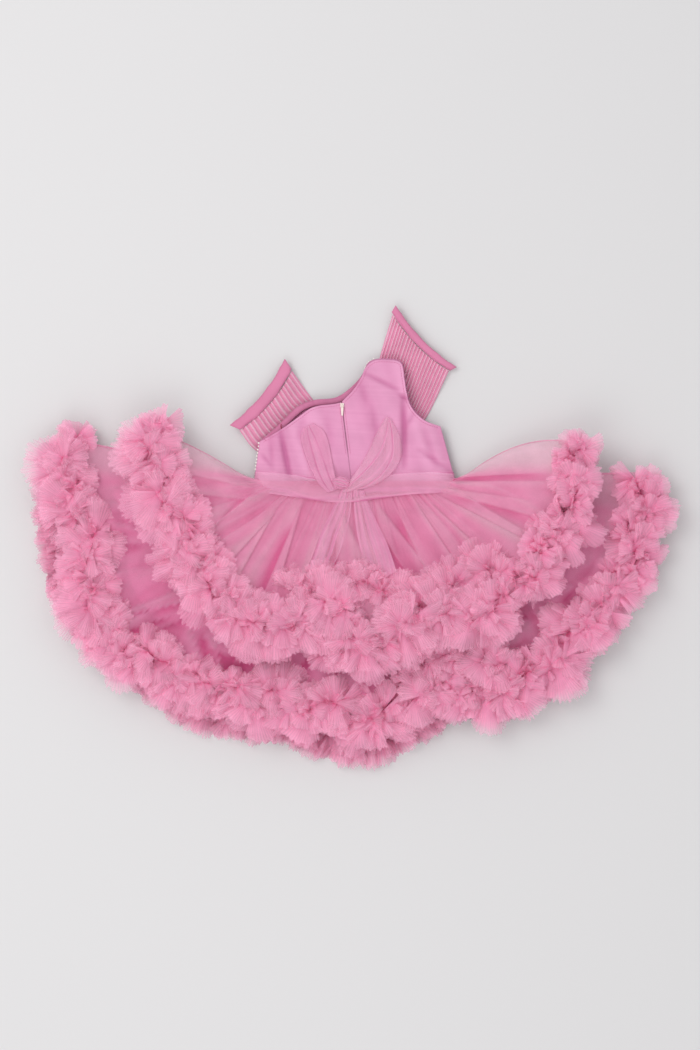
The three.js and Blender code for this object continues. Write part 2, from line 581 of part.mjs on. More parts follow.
for (const name of Object.keys(RUFFLES))
  for (const flank of Object.keys(FLANKS)) add(`${name}_ruffle_back_${flank}`, backRuffle(name, flank), RUFFLE);

// The ruffles under the skirt's front lie flat on the ground. The lower one's outer frill shows past the hem,
// and rises from FREE_START of its width on.
const FREE_START = 0.2;
const FRONT_ROWS = [-1, FREE_START, 0.6, 1];
const FRONT_LOBES = { count: 21, swing: 0.12 };
function frontRuffle(name, { columns, halfWidth, outerReach, rise, waveHeight, wall }) {
  const surface = SURFACES[name];
  const shares = range(columns).map((t) => lerp(END_SHARES[1], 1 - END_SHARES[1], t));
  const grid = FRONT_ROWS.map((a) =>
    roundEnds(shares).map(({ u, past, narrow }, c) => {
      const along = surface.bottom(u, 1).sub(surface.bottom(u, 0.9)).setZ(0).normalize();
      const lobe = 1 + FRONT_LOBES.swing * Math.cos(2 * Math.PI * FRONT_LOBES.count * u);
      const reach = (a < 0 ? halfWidth : outerReach * lobe) * a * narrow - SEAM_INSET;
      const p = surface.bottom(u, 1).addScaledVector(along, reach).setZ(0);
      p.addScaledVector(sideways(along, u), past);
      const free = Math.max(0, a - FREE_START) / (1 - FREE_START);
      return lifted(p, rise * free ** 1.5 + (c % 2) * waveHeight * free);
    }),
  );
  return sheet(grid, wall);
}
const FRONT_RUFFLES = {
  upper: { columns: 40, outerReach: HIDDEN_RUFFLE_HALF_WIDTH, rise: 0, waveHeight: 0, wall: WALL },
  lower: { columns: 84, outerReach: RUFFLE_HALF_WIDTH, rise: 14, waveHeight: 7, wall: FRILL_WALL },
};
for (const [name, shape] of Object.entries(FRONT_RUFFLES))
  add(name + "_ruffle_front", frontRuffle(name, { halfWidth: HIDDEN_RUFFLE_HALF_WIDTH, ...shape }), RUFFLE);

// Sash: a band round the bodice just over the waist, which dips to its knot at the centre back.
const SASH = {
  outset: 4.6, sideLow: 82, sideHigh: 98, knotLow: 66, knotHigh: 80, knotX: -12,
  dipSpread: 67.2, sideHold: 0.15, backTop: 26.2, frontUnder: 7.5, foldRoll: 0.065,
};
const sashPlan = (u, v, dips) => {
  const x = lerp(WAIST_LEFT - SASH.outset, WAIST_RIGHT + SASH.outset, u);
  const held = smooth(Math.min(u, 1 - u) / SASH.sideHold);
  const dip = dips ? Math.exp(-(((x - SASH.knotX) / SASH.dipSpread) ** 2)) * held : 0;
  return point(x, lerp(lerp(SASH.sideLow, SASH.knotLow, dip), lerp(SASH.sideHigh, SASH.knotHigh, dip), v));
};
const sashRound = (u) => Math.sqrt(1 - (1 - clamp01(Math.min(u, 1 - u) / SASH.foldRoll)) ** 2);
add(
  "sash",
  flatTube({
    top: (u, v) => sashPlan(u, v, true).setZ(lerp(SIDE_SEAM_Z, SASH.backTop, sashRound(u))),
    bottom: (u, v) => sashPlan(u, v, false).setZ(lerp(SIDE_SEAM_Z, SASH.frontUnder, sashRound(u))),
    us: [0, 0.015, 0.04, 0.075, ...range(14).map((t) => lerp(0.12, 0.88, t)), 0.925, 0.96, 0.985, 1],
    vs: [0, 0.5, 1],
  }),
  TULLE,
);

// Knot: a small rounded wad on the sash.
const KNOT = { x: -12, y: 73.5, halfX: 10, halfY: 7.5, height: 9 };
const knotUnder = SASH.backTop + SEAM_GAP;
const knotGeometry = new THREE.SphereGeometry(1, 14, 9)
  .rotateX(Math.PI / 2)
  .scale(KNOT.halfX, KNOT.halfY, KNOT.height / 2)
  .translate(KNOT.x, KNOT.y, knotUnder + KNOT.height / 2);
add("sash_knot", knotGeometry, TULLE);

// The sash's bow loops lie up the bodice back: rows of [x, y, half width] along each loop's middle.
const LOOPS = {
  left: { rows: [[-20, 84, 7], [-31, 104, 20], [-42, 132, 29], [-50, 158, 24], [-54, 174, 16]], fullness: 7 },
  right: { rows: [[-4, 84, 7], [16, 100, 17], [38, 124, 25], [52, 152, 21], [58, 176, 9]], fullness: 8 },
};
// A loop lies this far over the bodice, and higher near the sash, which it passes over.
const LOOP_LIE = { clearance: 0.6, wall: 1.0, tipZ: 1.5, tipShare: 0.1, overSashFrom: 98, overSashTo: 112 };
const LOOP_OPEN = { thinnest: 3, sideShare: 0.55, power: 0.7 };
function loopGeometry({ rows, fullness }) {
  const axis = planCurve(rows);
  const widths = rows.map((row, i) => [i / (rows.length - 1), row[2]]);
  const plan = (u, v) => {
    const tangent = axis.getTangentAt(u);
    const across = point(tangent.y, -tangent.x).setLength((2 * v - 1) * fromTable(widths, u));
    return axis.getPointAt(u).add(across);
  };
  const overSash = (y) => smooth((y - LOOP_LIE.overSashFrom) / (LOOP_LIE.overSashTo - LOOP_LIE.overSashFrom));
  const under = (p) => {
    const onBodice = backZ(p.x, p.y) + WALL + LOOP_LIE.clearance;
    return Math.max(onBodice, lerp(SASH.backTop, 0, overSash(p.y)));
  };
  const ends = (u) => Math.sqrt(1 - (1 - clamp01(Math.min(u, 1 - u) / LOOP_LIE.tipShare)) ** 2);
  const open = (u, v) => {
    const along = arch(u * 0.9) ** LOOP_OPEN.power;
    return LOOP_OPEN.thinnest + fullness * along * lerp(LOOP_OPEN.sideShare, 1, arch(v));
  };
  const side = (opening) => (u, v) => {
    const p = plan(u, v);
    return p.setZ(under(p) + lerp(LOOP_LIE.tipZ, opening(u, v), ends(u)));
  };
  return flatTube({
    top: side(open),
    bottom: side(() => 0),
    us: [0, 0.03, 0.08, 0.16, 0.28, 0.42, 0.56, 0.7, 0.82, 0.91, 0.965, 1],
    vs: range(4),
    wall: LOOP_LIE.wall,
  });
}
for (const [side, loop] of Object.entries(LOOPS)) add("sash_loop_" + side, loopGeometry(loop), TULLE);

// The sash's tails lie on the upper tier: rows of [u, v, half width in u] on that tier.
const TAILS = {
  left: [[0.465, 0.06, 0.022], [0.455, 0.2, 0.03], [0.44, 0.38, 0.034], [0.425, 0.56, 0.03]],
  right: [[0.515, 0.06, 0.022], [0.53, 0.22, 0.032], [0.548, 0.42, 0.036], [0.562, 0.64, 0.03]],
};
const onUpper = facetReader(SURFACES.upper.top, backColumns(LAYERS.upper.folds), TIER_ROWS);
const TAIL = { wall: 1.0, lift: 1.05, knotLift: 3.6, knotShare: 0.15, ripple: 1.2, rows: 10, columns: 4 };
function tailGeometry(rows) {
  const axis = new THREE.CatmullRomCurve3(rows.map(([u, v, w]) => point(u, v, w)));
  return sheet(
    range(TAIL.rows).map((t) =>
      range(TAIL.columns).map((s) => {
        const row = axis.getPoint(t);
        const p = onUpper(row.x + (2 * s - 1) * row.z, row.y);
        const ripple = Math.abs(TAIL.ripple * Math.sin(2 * Math.PI * s) * t);
        return lifted(p, TAIL.lift + TAIL.knotLift * (1 - smooth(t / TAIL.knotShare)) + ripple);
      }),
    ),
    TAIL.wall,
  );
}
for (const [side, rows] of Object.entries(TAILS)) add("sash_tail_" + side, tailGeometry(rows), TULLE);

export default dress;
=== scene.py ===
# A toddler's one-shoulder party dress, laid flat with its back up: its fine cloth, gathers and trim.
# Sizes are in millimetres in the dress's own plan, and become metres as each mesh is made.
import math

import bpy
import numpy as np
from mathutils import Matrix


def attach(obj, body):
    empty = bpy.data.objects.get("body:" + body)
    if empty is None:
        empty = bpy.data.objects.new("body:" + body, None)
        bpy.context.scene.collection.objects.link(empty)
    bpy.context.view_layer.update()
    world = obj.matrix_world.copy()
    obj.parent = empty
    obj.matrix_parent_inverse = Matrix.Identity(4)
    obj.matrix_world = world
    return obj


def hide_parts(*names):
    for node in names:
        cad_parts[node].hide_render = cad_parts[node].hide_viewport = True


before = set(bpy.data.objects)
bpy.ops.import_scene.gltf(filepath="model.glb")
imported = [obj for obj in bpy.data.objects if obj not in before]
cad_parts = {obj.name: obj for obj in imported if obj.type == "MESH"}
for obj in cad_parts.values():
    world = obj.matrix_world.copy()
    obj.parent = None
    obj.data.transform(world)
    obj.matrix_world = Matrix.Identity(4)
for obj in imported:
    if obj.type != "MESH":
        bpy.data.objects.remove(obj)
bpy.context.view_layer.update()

MM = 0.001
PLAN_SHIFT = (3.5, -0.3, 0.0)  # the plan's place in the frame, as in the solids
BODY = "dress"

# Driving sizes, shared with the solids
WAIST_Y = 68
WAIST_LEFT, WAIST_RIGHT = -130, 144
LAYER_OUTSET = 2.2
SKIRT_START_Y = 76
FRONT_Z, BACK_Z = 9, 18
SIDE_SEAM_Z = 13.5
SEAM_ROLL = 24
BODICE_PUFF = 5
SEAM_GAP = 0.15
WALL = 1.2
UNDERARM_Y, SHOULDER_Y = 149, 242
ZIP_TOP = (-11.2, 182.0)
ZIP_FOOT = (3.0, WAIST_Y)

# Camera: the photograph's 700 by 1050 frame, from straight above
PHOTO_MM_PER_PX = 1.35
PHOTO_HEIGHT = 1050
PHOTO_MIDDLE = (350, 537.5)  # over the plan's origin
CAMERA_Y = 16.9
CAMERA_HEIGHT = 5000
SENSOR = 36


# Small helpers
def lerp(a, b, t):
    return a + (b - a) * t


def smooth(t):
    t = np.clip(t, 0, 1)
    return t * t * (3 - 2 * t)


def bell(t):
    return np.exp(-(t**2))


def near_side(u):
    """A share's distance from the nearer end."""
    return np.minimum(u, 1 - u)


def rounded_edge(t):
    """A quarter of a circle's rise from 0 at an edge to 1."""
    return np.sqrt(1 - (1 - np.clip(t, 0, 1)) ** 2)


def grid_of(x, y, z):
    return np.stack(np.broadcast_arrays(x, y, z), -1)


def from_table(rows, share):
    """Reads [share, value] rows with soft steps between the rows."""
    xs, values = np.array(rows, float).T
    k = np.clip(np.searchsorted(xs, share, side="right") - 1, 0, len(xs) - 2)
    t = (share - xs[k]) / (xs[k + 1] - xs[k])
    return lerp(values[k], values[k + 1], smooth(t))


def noise(x, seed):
    """Smooth noise from -1 to 1 along a line, with one step for each unit of x."""
    table = np.random.default_rng(seed).uniform(-1, 1, 1024)
    x = np.asarray(x, float) + 300
    k = np.floor(x).astype(int)
    return lerp(table[k % 1024], table[(k + 1) % 1024], smooth(x - k))


def plan_curve(rows, step=1.0):
    """Points about every step along a centripetal Catmull-Rom curve through the rows."""
    p = np.array(rows, float)
    p = np.vstack([2 * p[:1] - p[1:2], p, 2 * p[-1:] - p[-2:-1]])
    points = []
    for a, b, c, d in zip(p, p[1:], p[2:], p[3:]):
        gaps = [max(np.linalg.norm(q - r), 1e-9) ** 0.5 for q, r in ((b, a), (c, b), (d, c))]
        knots = np.cumsum([0] + gaps)
        t = np.linspace(knots[1], knots[2], 24, endpoint=False)[:, None]

        def mix(q, r, i, j):
            return ((knots[j] - t) * q + (t - knots[i]) * r) / (knots[j] - knots[i])

        ab, bc, cd = mix(a, b, 0, 1), mix(b, c, 1, 2), mix(c, d, 2, 3)
        points.append(mix(mix(ab, bc, 0, 2), mix(bc, cd, 1, 3), 1, 2))
    return resampled(np.vstack(points + [p[-2:-1]]), step)


def travel(line):
    """The distance along a line to each of its points."""
    return np.concatenate([[0], np.cumsum(np.linalg.norm(np.diff(line, axis=0), axis=1))])


def at_distance(line, distance):
    return np.stack([np.interp(distance, travel(line), column) for column in line.T], -1)


def resampled(line, step):
    """The same line with points at equal steps."""
    length = travel(line)[-1]
    return at_distance(line, np.linspace(0, length, max(2, int(round(length / step)) + 1)))


def along(line, share):
    """Points at shares from 0 to 1 of a line's length."""
    return at_distance(line, np.asarray(share) * travel(line)[-1])


def shares(count):
    return np.linspace(0, 1, count)


def circle(count):
    return np.linspace(0, 2 * np.pi, count, endpoint=False)[None]


def unit(v):
    return v / np.maximum(np.linalg.norm(v, axis=-1, keepdims=True), 1e-12)


def directions(line):
    """Unit steps along a line's plan, and the same steps turned to its right."""
    tangent = unit(np.gradient(line[:, :2], axis=0))
    return tangent, np.stack([tangent[:, 1], -tangent[:, 0]], 1)


def srgb(*colour):
    """A colour as seen, 11 to 255, as linear light."""
    return tuple(((c / 255 + 0.055) / 1.055) ** 2.4 for c in colour) + (1.0,)


def photo_plan(x, y):
    """The plan's point under a point of the photograph."""
    return (x - PHOTO_MIDDLE[0]) * PHOTO_MM_PER_PX, (PHOTO_MIDDLE[1] - y) * PHOTO_MM_PER_PX


def photo_curve(rows):
    return plan_curve([photo_plan(*row) for row in rows])


def new_object(name, data):
    made = bpy.data.objects.new(name, data)
    bpy.context.scene.collection.objects.link(made)
    return made


# Meshes: grids of points joined into one piece
class Cloth:
    """Grids of points, [row, column, xyz] in millimetres, with a shade from 0 to 1 for each."""

    def __init__(self):
        self.points, self.quads, self.shade, self.count = [], [], [], 0

    def add(self, grid, shade, wrap=False, caps=False):
        rows, columns = grid.shape[:2]
        index = np.arange(rows * columns).reshape(rows, columns) + self.count
        if caps:
            for row, turn in ((index[0], 1), (index[-1], -1)):
                near, far = row[: columns // 2], row[::-1][: columns // 2]
                cap = np.stack([near[:-1], far[:-1], far[1:], near[1:]], 1)
                self.quads.append(cap[:, ::turn])
        if wrap:
            index = np.hstack([index, index[:, :1]])
        quads = np.stack([index[:-1, :-1], index[:-1, 1:], index[1:, 1:], index[1:, :-1]], -1)
        self.quads.append(quads.reshape(-1, 4))
        self.points.append(grid.reshape(-1, 3))
        self.shade.append(np.clip(np.broadcast_to(shade, (rows, columns)), 0, 1).ravel())
        self.count += rows * columns
        return self

    def add_shell(self, grid, thickness, shade):
        """A wall, with the grid as its upper side."""
        normal = unit(np.cross(np.gradient(grid, axis=1), np.gradient(grid, axis=0)))
        normal *= np.sign(normal[..., 2:] + 1e-9)
        lower = grid - normal * thickness
        shade = np.broadcast_to(shade, grid.shape[:2])
        ring, shade = np.hstack([grid, lower[:, ::-1]]), np.hstack([shade, shade[:, ::-1]])
        return self.add(ring, shade, wrap=True, caps=True)

    def make(self, name, material, slot, replaces=()):
        """Makes the piece, which may stand for solids."""
        points = (np.vstack(self.points) + PLAN_SHIFT) * MM
        quads = np.vstack(self.quads)
        mesh = bpy.data.meshes.new(name)
        mesh.from_pydata(points, [], quads)
        shade = mesh.attributes.new("shade", "FLOAT", "POINT")
        shade.data.foreach_set("value", np.concatenate(self.shade))
        mesh.shade_smooth()
        mesh.materials.append(material)
        piece = new_object(name, mesh)
        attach(piece, BODY)
        if replaces:
            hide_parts(*replaces)
        return piece

    def make_sheet(self, name, solid, material, slot, width, held, rests_on=(), shell=False, fill=1.0):
        """Makes a solid's cloth, which stands for the solid."""
        piece = self.make(name, material, slot, [solid])


# Materials
def new_material(name, roughness, sheen=0.0, coat=0.0):
    material = bpy.data.materials.new(name)
    material.use_nodes = True
    surface = material.node_tree.nodes["Principled BSDF"]
    settings = {"Roughness": roughness, "Sheen Weight": sheen, "Specular IOR Level": 0.3, "Coat Weight": coat}
    for key, value in settings.items():
        surface.inputs[key].default_value = value
    return material, material.node_tree, surface


def node(tree, kind, **settings):
    """A new node. A setting is another node's output to link, an input's value, or a property."""
    made = tree.nodes.new(kind)
    for key, value in settings.items():
        if isinstance(value, bpy.types.NodeSocket):
            tree.links.new(value, made.inputs[key])
        elif key in made.inputs:
            made.inputs[key].default_value = value
        else:
            setattr(made, key, value)
    return made


def combined(tree, operation, *sources):
    made = node(tree, "ShaderNodeMath", operation=operation)
    for source, socket in zip(sources, made.inputs):
        tree.links.new(source, socket)
    return made.outputs["Value"]


def mapped(tree, source, low, high, to_low, to_high):
    ends = {"From Min": low, "From Max": high, "To Min": to_low, "To Max": to_high}
    return node(tree, "ShaderNodeMapRange", Value=source, **ends).outputs["Result"]


def ramp(tree, stops, source):
    """A ramp of [position, red, green, blue] stops, as seen, or [position, grey] stops."""
    made = node(tree, "ShaderNodeValToRGB", Fac=source)
    elements = made.color_ramp.elements
    while len(elements) < len(stops):
        elements.new(0.5)
    for element, (position, *colour) in zip(elements, stops):
        element.position = position
        element.color = srgb(*colour) if len(colour) > 1 else (*colour * 3, 1.0)
    return made.outputs["Color"]


def object_place(tree):
    return node(tree, "ShaderNodeTexCoord").outputs["Object"]


def net_cells(tree, scale):
    """The distance to the threads of fine net."""
    settings = dict(voronoi_dimensions="2D", feature="DISTANCE_TO_EDGE", Scale=scale)
    return node(tree, "ShaderNodeTexVoronoi", Vector=object_place(tree), **settings).outputs["Distance"]


def crossed_threads(tree, scale):
    """A fine height pattern of woven threads."""
    settings = dict(Scale=scale, Distortion=0.6, Detail=1.0, Vector=object_place(tree))
    waves = [node(tree, "ShaderNodeTexWave", bands_direction=axis, **settings) for axis in "XY"]
    return combined(tree, "ADD", *[wave.outputs["Fac"] for wave in waves])


def bump(tree, surface, height, strength, distance=0.0004):
    made = node(tree, "ShaderNodeBump", Strength=strength, Distance=distance, Height=height)
    tree.links.new(made.outputs["Normal"], surface.inputs["Normal"])


def paint(tree, surface, colour, amount, scale):
    """A surface's colour, which varies a little in soft patches."""
    cloud = node(tree, "ShaderNodeTexNoise", Scale=scale, Detail=3.0, Vector=object_place(tree))
    value = mapped(tree, cloud.outputs["Fac"], 0.3, 0.7, 1 - amount, 1 + amount)
    shift = node(tree, "ShaderNodeHueSaturation", Value=value, Color=colour)
    tree.links.new(shift.outputs["Color"], surface.inputs["Base Color"])


def shade_value(tree):
    return node(tree, "ShaderNodeAttribute", attribute_name="shade").outputs["Fac"]


def cloth_material(name, stops, roughness, sheen, weave=900):
    """Opaque woven cloth, coloured by each point's shade."""
    material, tree, surface = new_material(name, roughness, sheen)
    paint(tree, surface, ramp(tree, stops, shade_value(tree)), 0.05, 30.0)
    bump(tree, surface, crossed_threads(tree, weave), 0.25)
    return material


def net_material(name, stops, cover, sheen=0.05, scale=900):
    """Sheer net: cover holds [shade, alpha] stops, and the net's holes thin it a little."""
    material, tree, surface = new_material(name, 0.85, sheen)
    shade = shade_value(tree)
    paint(tree, surface, ramp(tree, stops, shade), 0.06, 45.0)
    cells = net_cells(tree, scale)
    alpha = combined(tree, "MULTIPLY", ramp(tree, cover, shade), mapped(tree, cells, 0.0, 0.25, 1.0, 0.8))
    tree.links.new(alpha, surface.inputs["Alpha"])
    bump(tree, surface, cells, 0.3, 0.0003)
    return material


def plain_material(name, colour, roughness, coat=0.0):
    material, tree, surface = new_material(name, roughness, coat=coat)
    base = node(tree, "ShaderNodeRGB")
    base.outputs[0].default_value = srgb(*colour)
    paint(tree, surface, base.outputs[0], 0.04, 60.0)
    return material


# Each ramp runs from its colour at shade 0 to its colour at shade 1; the points' shade holds painted light and shade
# as well as the cloth's own tone and sheerness.
SATIN = cloth_material("satin", [(0, 192, 104, 150), (1, 232, 162, 198)], 0.5, 0.3)
BINDING = cloth_material("binding_cloth", [(0, 166, 74, 114), (1, 206, 122, 160)], 0.6, 0.3, weave=1300)
EDGE_CLOTH = cloth_material("bow_edge_cloth", [(0, 178, 84, 124), (1, 212, 126, 162)], 0.6, 0.2, weave=1300)
TAPE = cloth_material("zip_tape_weave", [(0, 150, 60, 100), (1, 206, 120, 160)], 0.7, 0.2, weave=1600)
TIER_NET = net_material(
    "tier_net", [(0, 212, 100, 146), (0.45, 241, 158, 192), (1, 255, 202, 222)],
    [(0, 0.86), (0.5, 0.66), (0.85, 0.52), (1, 0.44)],
)
LOWER_NET = net_material(
    "lower_tier_net", [(0, 200, 80, 130), (0.45, 233, 138, 178), (1, 242, 170, 200)],
    [(0, 0.88), (0.5, 0.7), (1, 0.52)],
)
LINING = net_material(
    "lining_satin", [(0, 214, 116, 160), (0.8, 240, 158, 196), (1, 240, 158, 196)],
    [(0, 1.0), (0.86, 1.0), (1, 0.0)], sheen=0.2,
)
FRILL_NET = net_material(
    "frill_net", [(0, 216, 76, 126), (0.3, 244, 140, 182), (0.6, 248, 160, 196), (1, 252, 184, 212)],
    [(0, 0.85), (0.6, 0.74), (0.82, 0.55), (1, 0.28)],
)
SASH_NET = net_material(
    "sash_net", [(0, 204, 104, 150), (0.5, 239, 168, 202), (1, 250, 200, 222)],
    [(0, 0.84), (0.45, 0.7), (0.8, 0.34), (1, 0.2)],
)
PLEATED = net_material(
    "pleated_organza", [(0, 226, 140, 174), (0.5, 231, 152, 185), (1, 240, 200, 215)],
    [(0, 0.99), (0.6, 0.97), (1, 0.85)], sheen=0.1, scale=1400,
)
ENAMEL = plain_material("cream_enamel", (238, 222, 214), 0.3, coat=0.4)
PEARL = plain_material("pearl", (244, 238, 232), 0.22, coat=0.6)
THREAD = plain_material("sewing_thread", (206, 118, 158), 0.6)
BROWN_THREAD = plain_material("brown_thread", (140, 40, 60), 0.6)
PINK_PLASTIC = plain_material("zip_coil", (170, 80, 118), 0.4)

# Bodice, as in the solids: upper edges, shallow creases and heights
BACK_LEFT_TOP = [[-121.5, 129], [-95, 144], [-70, 161.5], [-50, 175], [-19, 180], [-11.5, 182]]
BACK_RIGHT_TOP = [
    [-11.0, 182.5], [4, 198], [15, 215], [21, 229], [32, 238], [48, 239.5], [68, 235.5],
    [72.5, 216], [77, 189], [84, 173], [100, 157.5], [122, 149.5],
]
FRONT_TOP = [
    [-122, 129], [-96, 152], [-70, 177], [-50, 185], [-19, 189], [-1.5, 200], [15, 217.5],
    [24, 235], [33, 239.8], [48, 241], [69, 237], [74, 216], [79, 189], [87, 173], [101, 158], [122, 149.5],
]
# Each crease: from x, y to x, y, half width and depth
CREASES = [
    (-93, 141, -80, 76, 4, 3.2), (-119, 112, -108, 98, 3, 1.8), (-70, 150, -44, 84, 7, 1.4),
    (72, 188, 73, 96, 4.5, 3.4), (20, 221, 64, 199, 3.5, 2.2), (66, 192, 80, 184, 3, 1.8),
    (-108, 134, -104, 92, 4, 1.6), (98, 152, 116, 96, 6, 1.8), (94, 118, 134, 90, 4, 1.8),
    (-30, 160, -24, 120, 5, 0.9), (30, 180, 38, 130, 5, 1.1), (52, 150, 46, 96, 4, 1.0),
    (88, 168, 76, 150, 4, 1.4), (-60, 166, -70, 130, 5, 1.0), (14, 206, 24, 180, 5, 1.0),
]


def crease_depth(x, y):
    total = np.zeros_like(x)
    for x0, y0, x1, y1, width, depth in CREASES:
        dx, dy = x1 - x0, y1 - y0
        t = np.clip(((x - x0) * dx + (y - y0) * dy) / (dx * dx + dy * dy), 0, 1)
        away = np.hypot(x - x0 - t * dx, y - y0 - t * dy)
        total += depth * bell(away / width) * np.sin(np.pi * (0.15 + 0.7 * t))
    return total


def side_seams(y):
    """The bodice's left and right edges at a height."""
    (left, left_y), (right, right_y) = BACK_LEFT_TOP[0], BACK_RIGHT_TOP[-1]
    rise = y - WAIST_Y
    return lerp(WAIST_LEFT, left, rise / (left_y - WAIST_Y)), lerp(WAIST_RIGHT, right, rise / (right_y - WAIST_Y))


def apart_share(x, y):
    """0 where the bodice's front and back meet, 1 where they are apart."""
    left, right = side_seams(y)
    side = np.minimum(x - left, lerp(right - x, SEAM_ROLL, smooth((y - UNDERARM_Y) / 12)))
    return np.minimum(smooth(side / SEAM_ROLL), smooth((SHOULDER_Y - y) / SEAM_ROLL))


def puff(x, y):
    across = np.sin(np.pi * np.clip((x - WAIST_LEFT) / (WAIST_RIGHT - WAIST_LEFT), 0, 1))
    return BODICE_PUFF * across * np.sin(np.pi * np.clip((y - SKIRT_START_Y) / 180, 0, 1))


def zip_x(y):
    return lerp(ZIP_FOOT[0], ZIP_TOP[0], (y - WAIST_Y) / (ZIP_TOP[1] - WAIST_Y))


def zip_dip(x, y):
    """How far the cloth dips into the zip, down to the sash."""
    return 1.1 * bell((x - zip_x(y)) / 1.2) * smooth((y - 108) / 14)


def back_z(x, y):
    """The upper side of the bodice back, with creases and fine pulls."""
    open_z = BACK_Z + puff(x, y) - crease_depth(x, y)
    pulls = 0.35 * noise(x / 9 + 0.03 * y, 5) * noise(y / 26, 6) + 0.2 * noise(x / 4.5, 8) * smooth((100 - y) / 26)
    return lerp(SIDE_SEAM_Z + SEAM_GAP, open_z + pulls - zip_dip(x, y), apart_share(x, y)) + WALL


def panel_grid(top_rows, foot_left, foot_right, columns, rows, height):
    """A panel from its upper edge down to the waist."""
    top = along(plan_curve(top_rows), shares(columns))
    foot = np.stack([np.linspace(foot_left, foot_right, columns), np.full(columns, WAIST_Y)], 1)
    plan = lerp(top, foot, shares(rows)[:, None, None])
    return np.dstack([plan, height(plan[..., 0], plan[..., 1])])


def fold_shade_and_slubs(x, y):
    """Painted light and shade of the satin's soft folds, painted shade in its creases, and the fine uneven threads'
    own tone.
    """
    # Painted shade: soft folds lighter and darker, creases darker.
    folds = 0.2 * noise(x / 15 + 0.02 * y, 12) - 0.22 * crease_depth(x, y)
    threads = 0.1 * noise(y / 1.6 + 0.03 * x, 13) * noise(x / 34 + y / 5, 14)
    return 0.72 + folds + threads


def make_bodice():
    slit, thickness = 0.03, 0.8
    sides = {
        "left": panel_grid(BACK_LEFT_TOP, WAIST_LEFT, ZIP_FOOT[0] - slit, 84, 80, back_z),
        "right": panel_grid(BACK_RIGHT_TOP, ZIP_FOOT[0] + slit, WAIST_RIGHT, 104, 104, back_z),
    }
    for side, grid in sides.items():
        # The satin's shade holds painted fold light and crease shade as well as its slubs.
        cloth = Cloth().add_shell(grid, thickness, fold_shade_and_slubs(grid[..., 0], grid[..., 1]))
        solid = "bodice_back_" + side
        cloth.make_sheet(
            solid + "_cloth", solid, SATIN, "satin", 165, "laid", ["bodice_front_cloth"], shell=True, fill=0.75,
        )

    def front_z(x, y):
        return lerp(SIDE_SEAM_Z - SEAM_GAP - WALL, FRONT_Z, apart_share(x, y)) + WALL

    cloth = Cloth().add_shell(panel_grid(FRONT_TOP, WAIST_LEFT, WAIST_RIGHT, 84, 40, front_z), thickness, 0.3)
    cloth.make_sheet("bodice_front_cloth", "bodice_front", SATIN, "satin", 270, "laid", shell=True, fill=0.75)


def rolled_strip(centre, half_width, half_height, twist=0.0, sides=14):
    """A soft flattened tube along a line, and its painted shade: lighter on top, darker underneath."""
    across = unit(np.cross(unit(np.gradient(centre, axis=0)), [0, 0, 1.0]))
    angle = circle(sides)
    width, height, lean = (np.reshape(value, (-1, 1)) for value in (half_width, half_height, twist))
    sideways = width * np.cos(angle)
    upward = height * np.sign(np.sin(angle)) * np.abs(np.sin(angle)) ** 0.8 + lean * np.cos(angle)
    grid = centre[:, None] + sideways[..., None] * across[:, None] + upward[..., None] * (0, 0, 1.0)
    # Painted shade: the tube's upper side is lighter and its underside darker.
    return grid, 0.5 + 0.5 * np.sin(angle)


def make_binding():
    share = np.linspace(0.02, 0.5, 150)
    top = along(plan_curve(FRONT_TOP), share)
    x, y = (top + directions(top)[1] * 4.6).T
    lift = lerp(SIDE_SEAM_Z - 1.5, FRONT_Z + WALL, apart_share(x, y)) + 2.6
    centre = np.stack([x, y, lift + 0.5 * noise(share * 60, 21)], 1)
    grid, shade = rolled_strip(centre, 4.3 + 0.5 * noise(share * 30, 22), 1.9, twist=0.7 * noise(share * 25, 23))
    # Painted shade from the tube, lighter on top and darker underneath, with a little uneven tone.
    cloth = Cloth().add(grid, shade * 0.9 + 0.1 * noise(share * 90, 24)[:, None], wrap=True, caps=True)
    cloth.make_sheet(
        "neckline_roll", "neckline_binding", BINDING, "organza", 22, "stretched", ["bodice_front_cloth"], shell=True,
    )


def make_zip():
    half_width, depth, teeth_depth, teeth_pitch = 7, 2.3, 1.15, 1.5
    y = np.linspace(180, 82, 60)[:, None]
    x = zip_x(y) + np.linspace(-half_width, half_width, 9)
    cloth = Cloth().add_shell(grid_of(x, y, back_z(x, y) - depth + zip_dip(x, y)), 0.5, 0.4)
    cloth.make_sheet(
        "zip_tape_cloth", "zip_tape", TAPE, "zip_tape", 14, "laid", ["bodice_back_left_cloth"], shell=True,
    )

    teeth = Cloth()
    for i, y in enumerate(np.arange(84, 172, teeth_pitch)):
        x = zip_x(y) + (0.35 if i % 2 else -0.35)
        teeth.add(*small_ball((x, y, back_z(x, y) - teeth_depth), (0.7, 0.45, 0.35), 6, 5), wrap=True)
    teeth.make("zip_teeth", PINK_PLASTIC, "zip_tape")


def small_ball(centre, radii, around, rings):
    """A small ball, from pole to pole, and its painted shade, lighter towards the top."""
    angle = circle(around)
    polar = np.linspace(0.02, np.pi - 0.02, rings)[:, None]
    ball = grid_of(np.sin(polar) * np.cos(angle), np.sin(polar) * np.sin(angle), np.cos(polar))
    # Painted shade: lighter towards the ball's top.
    return centre + ball * radii, 0.5 + 0.5 * ball[..., 2]


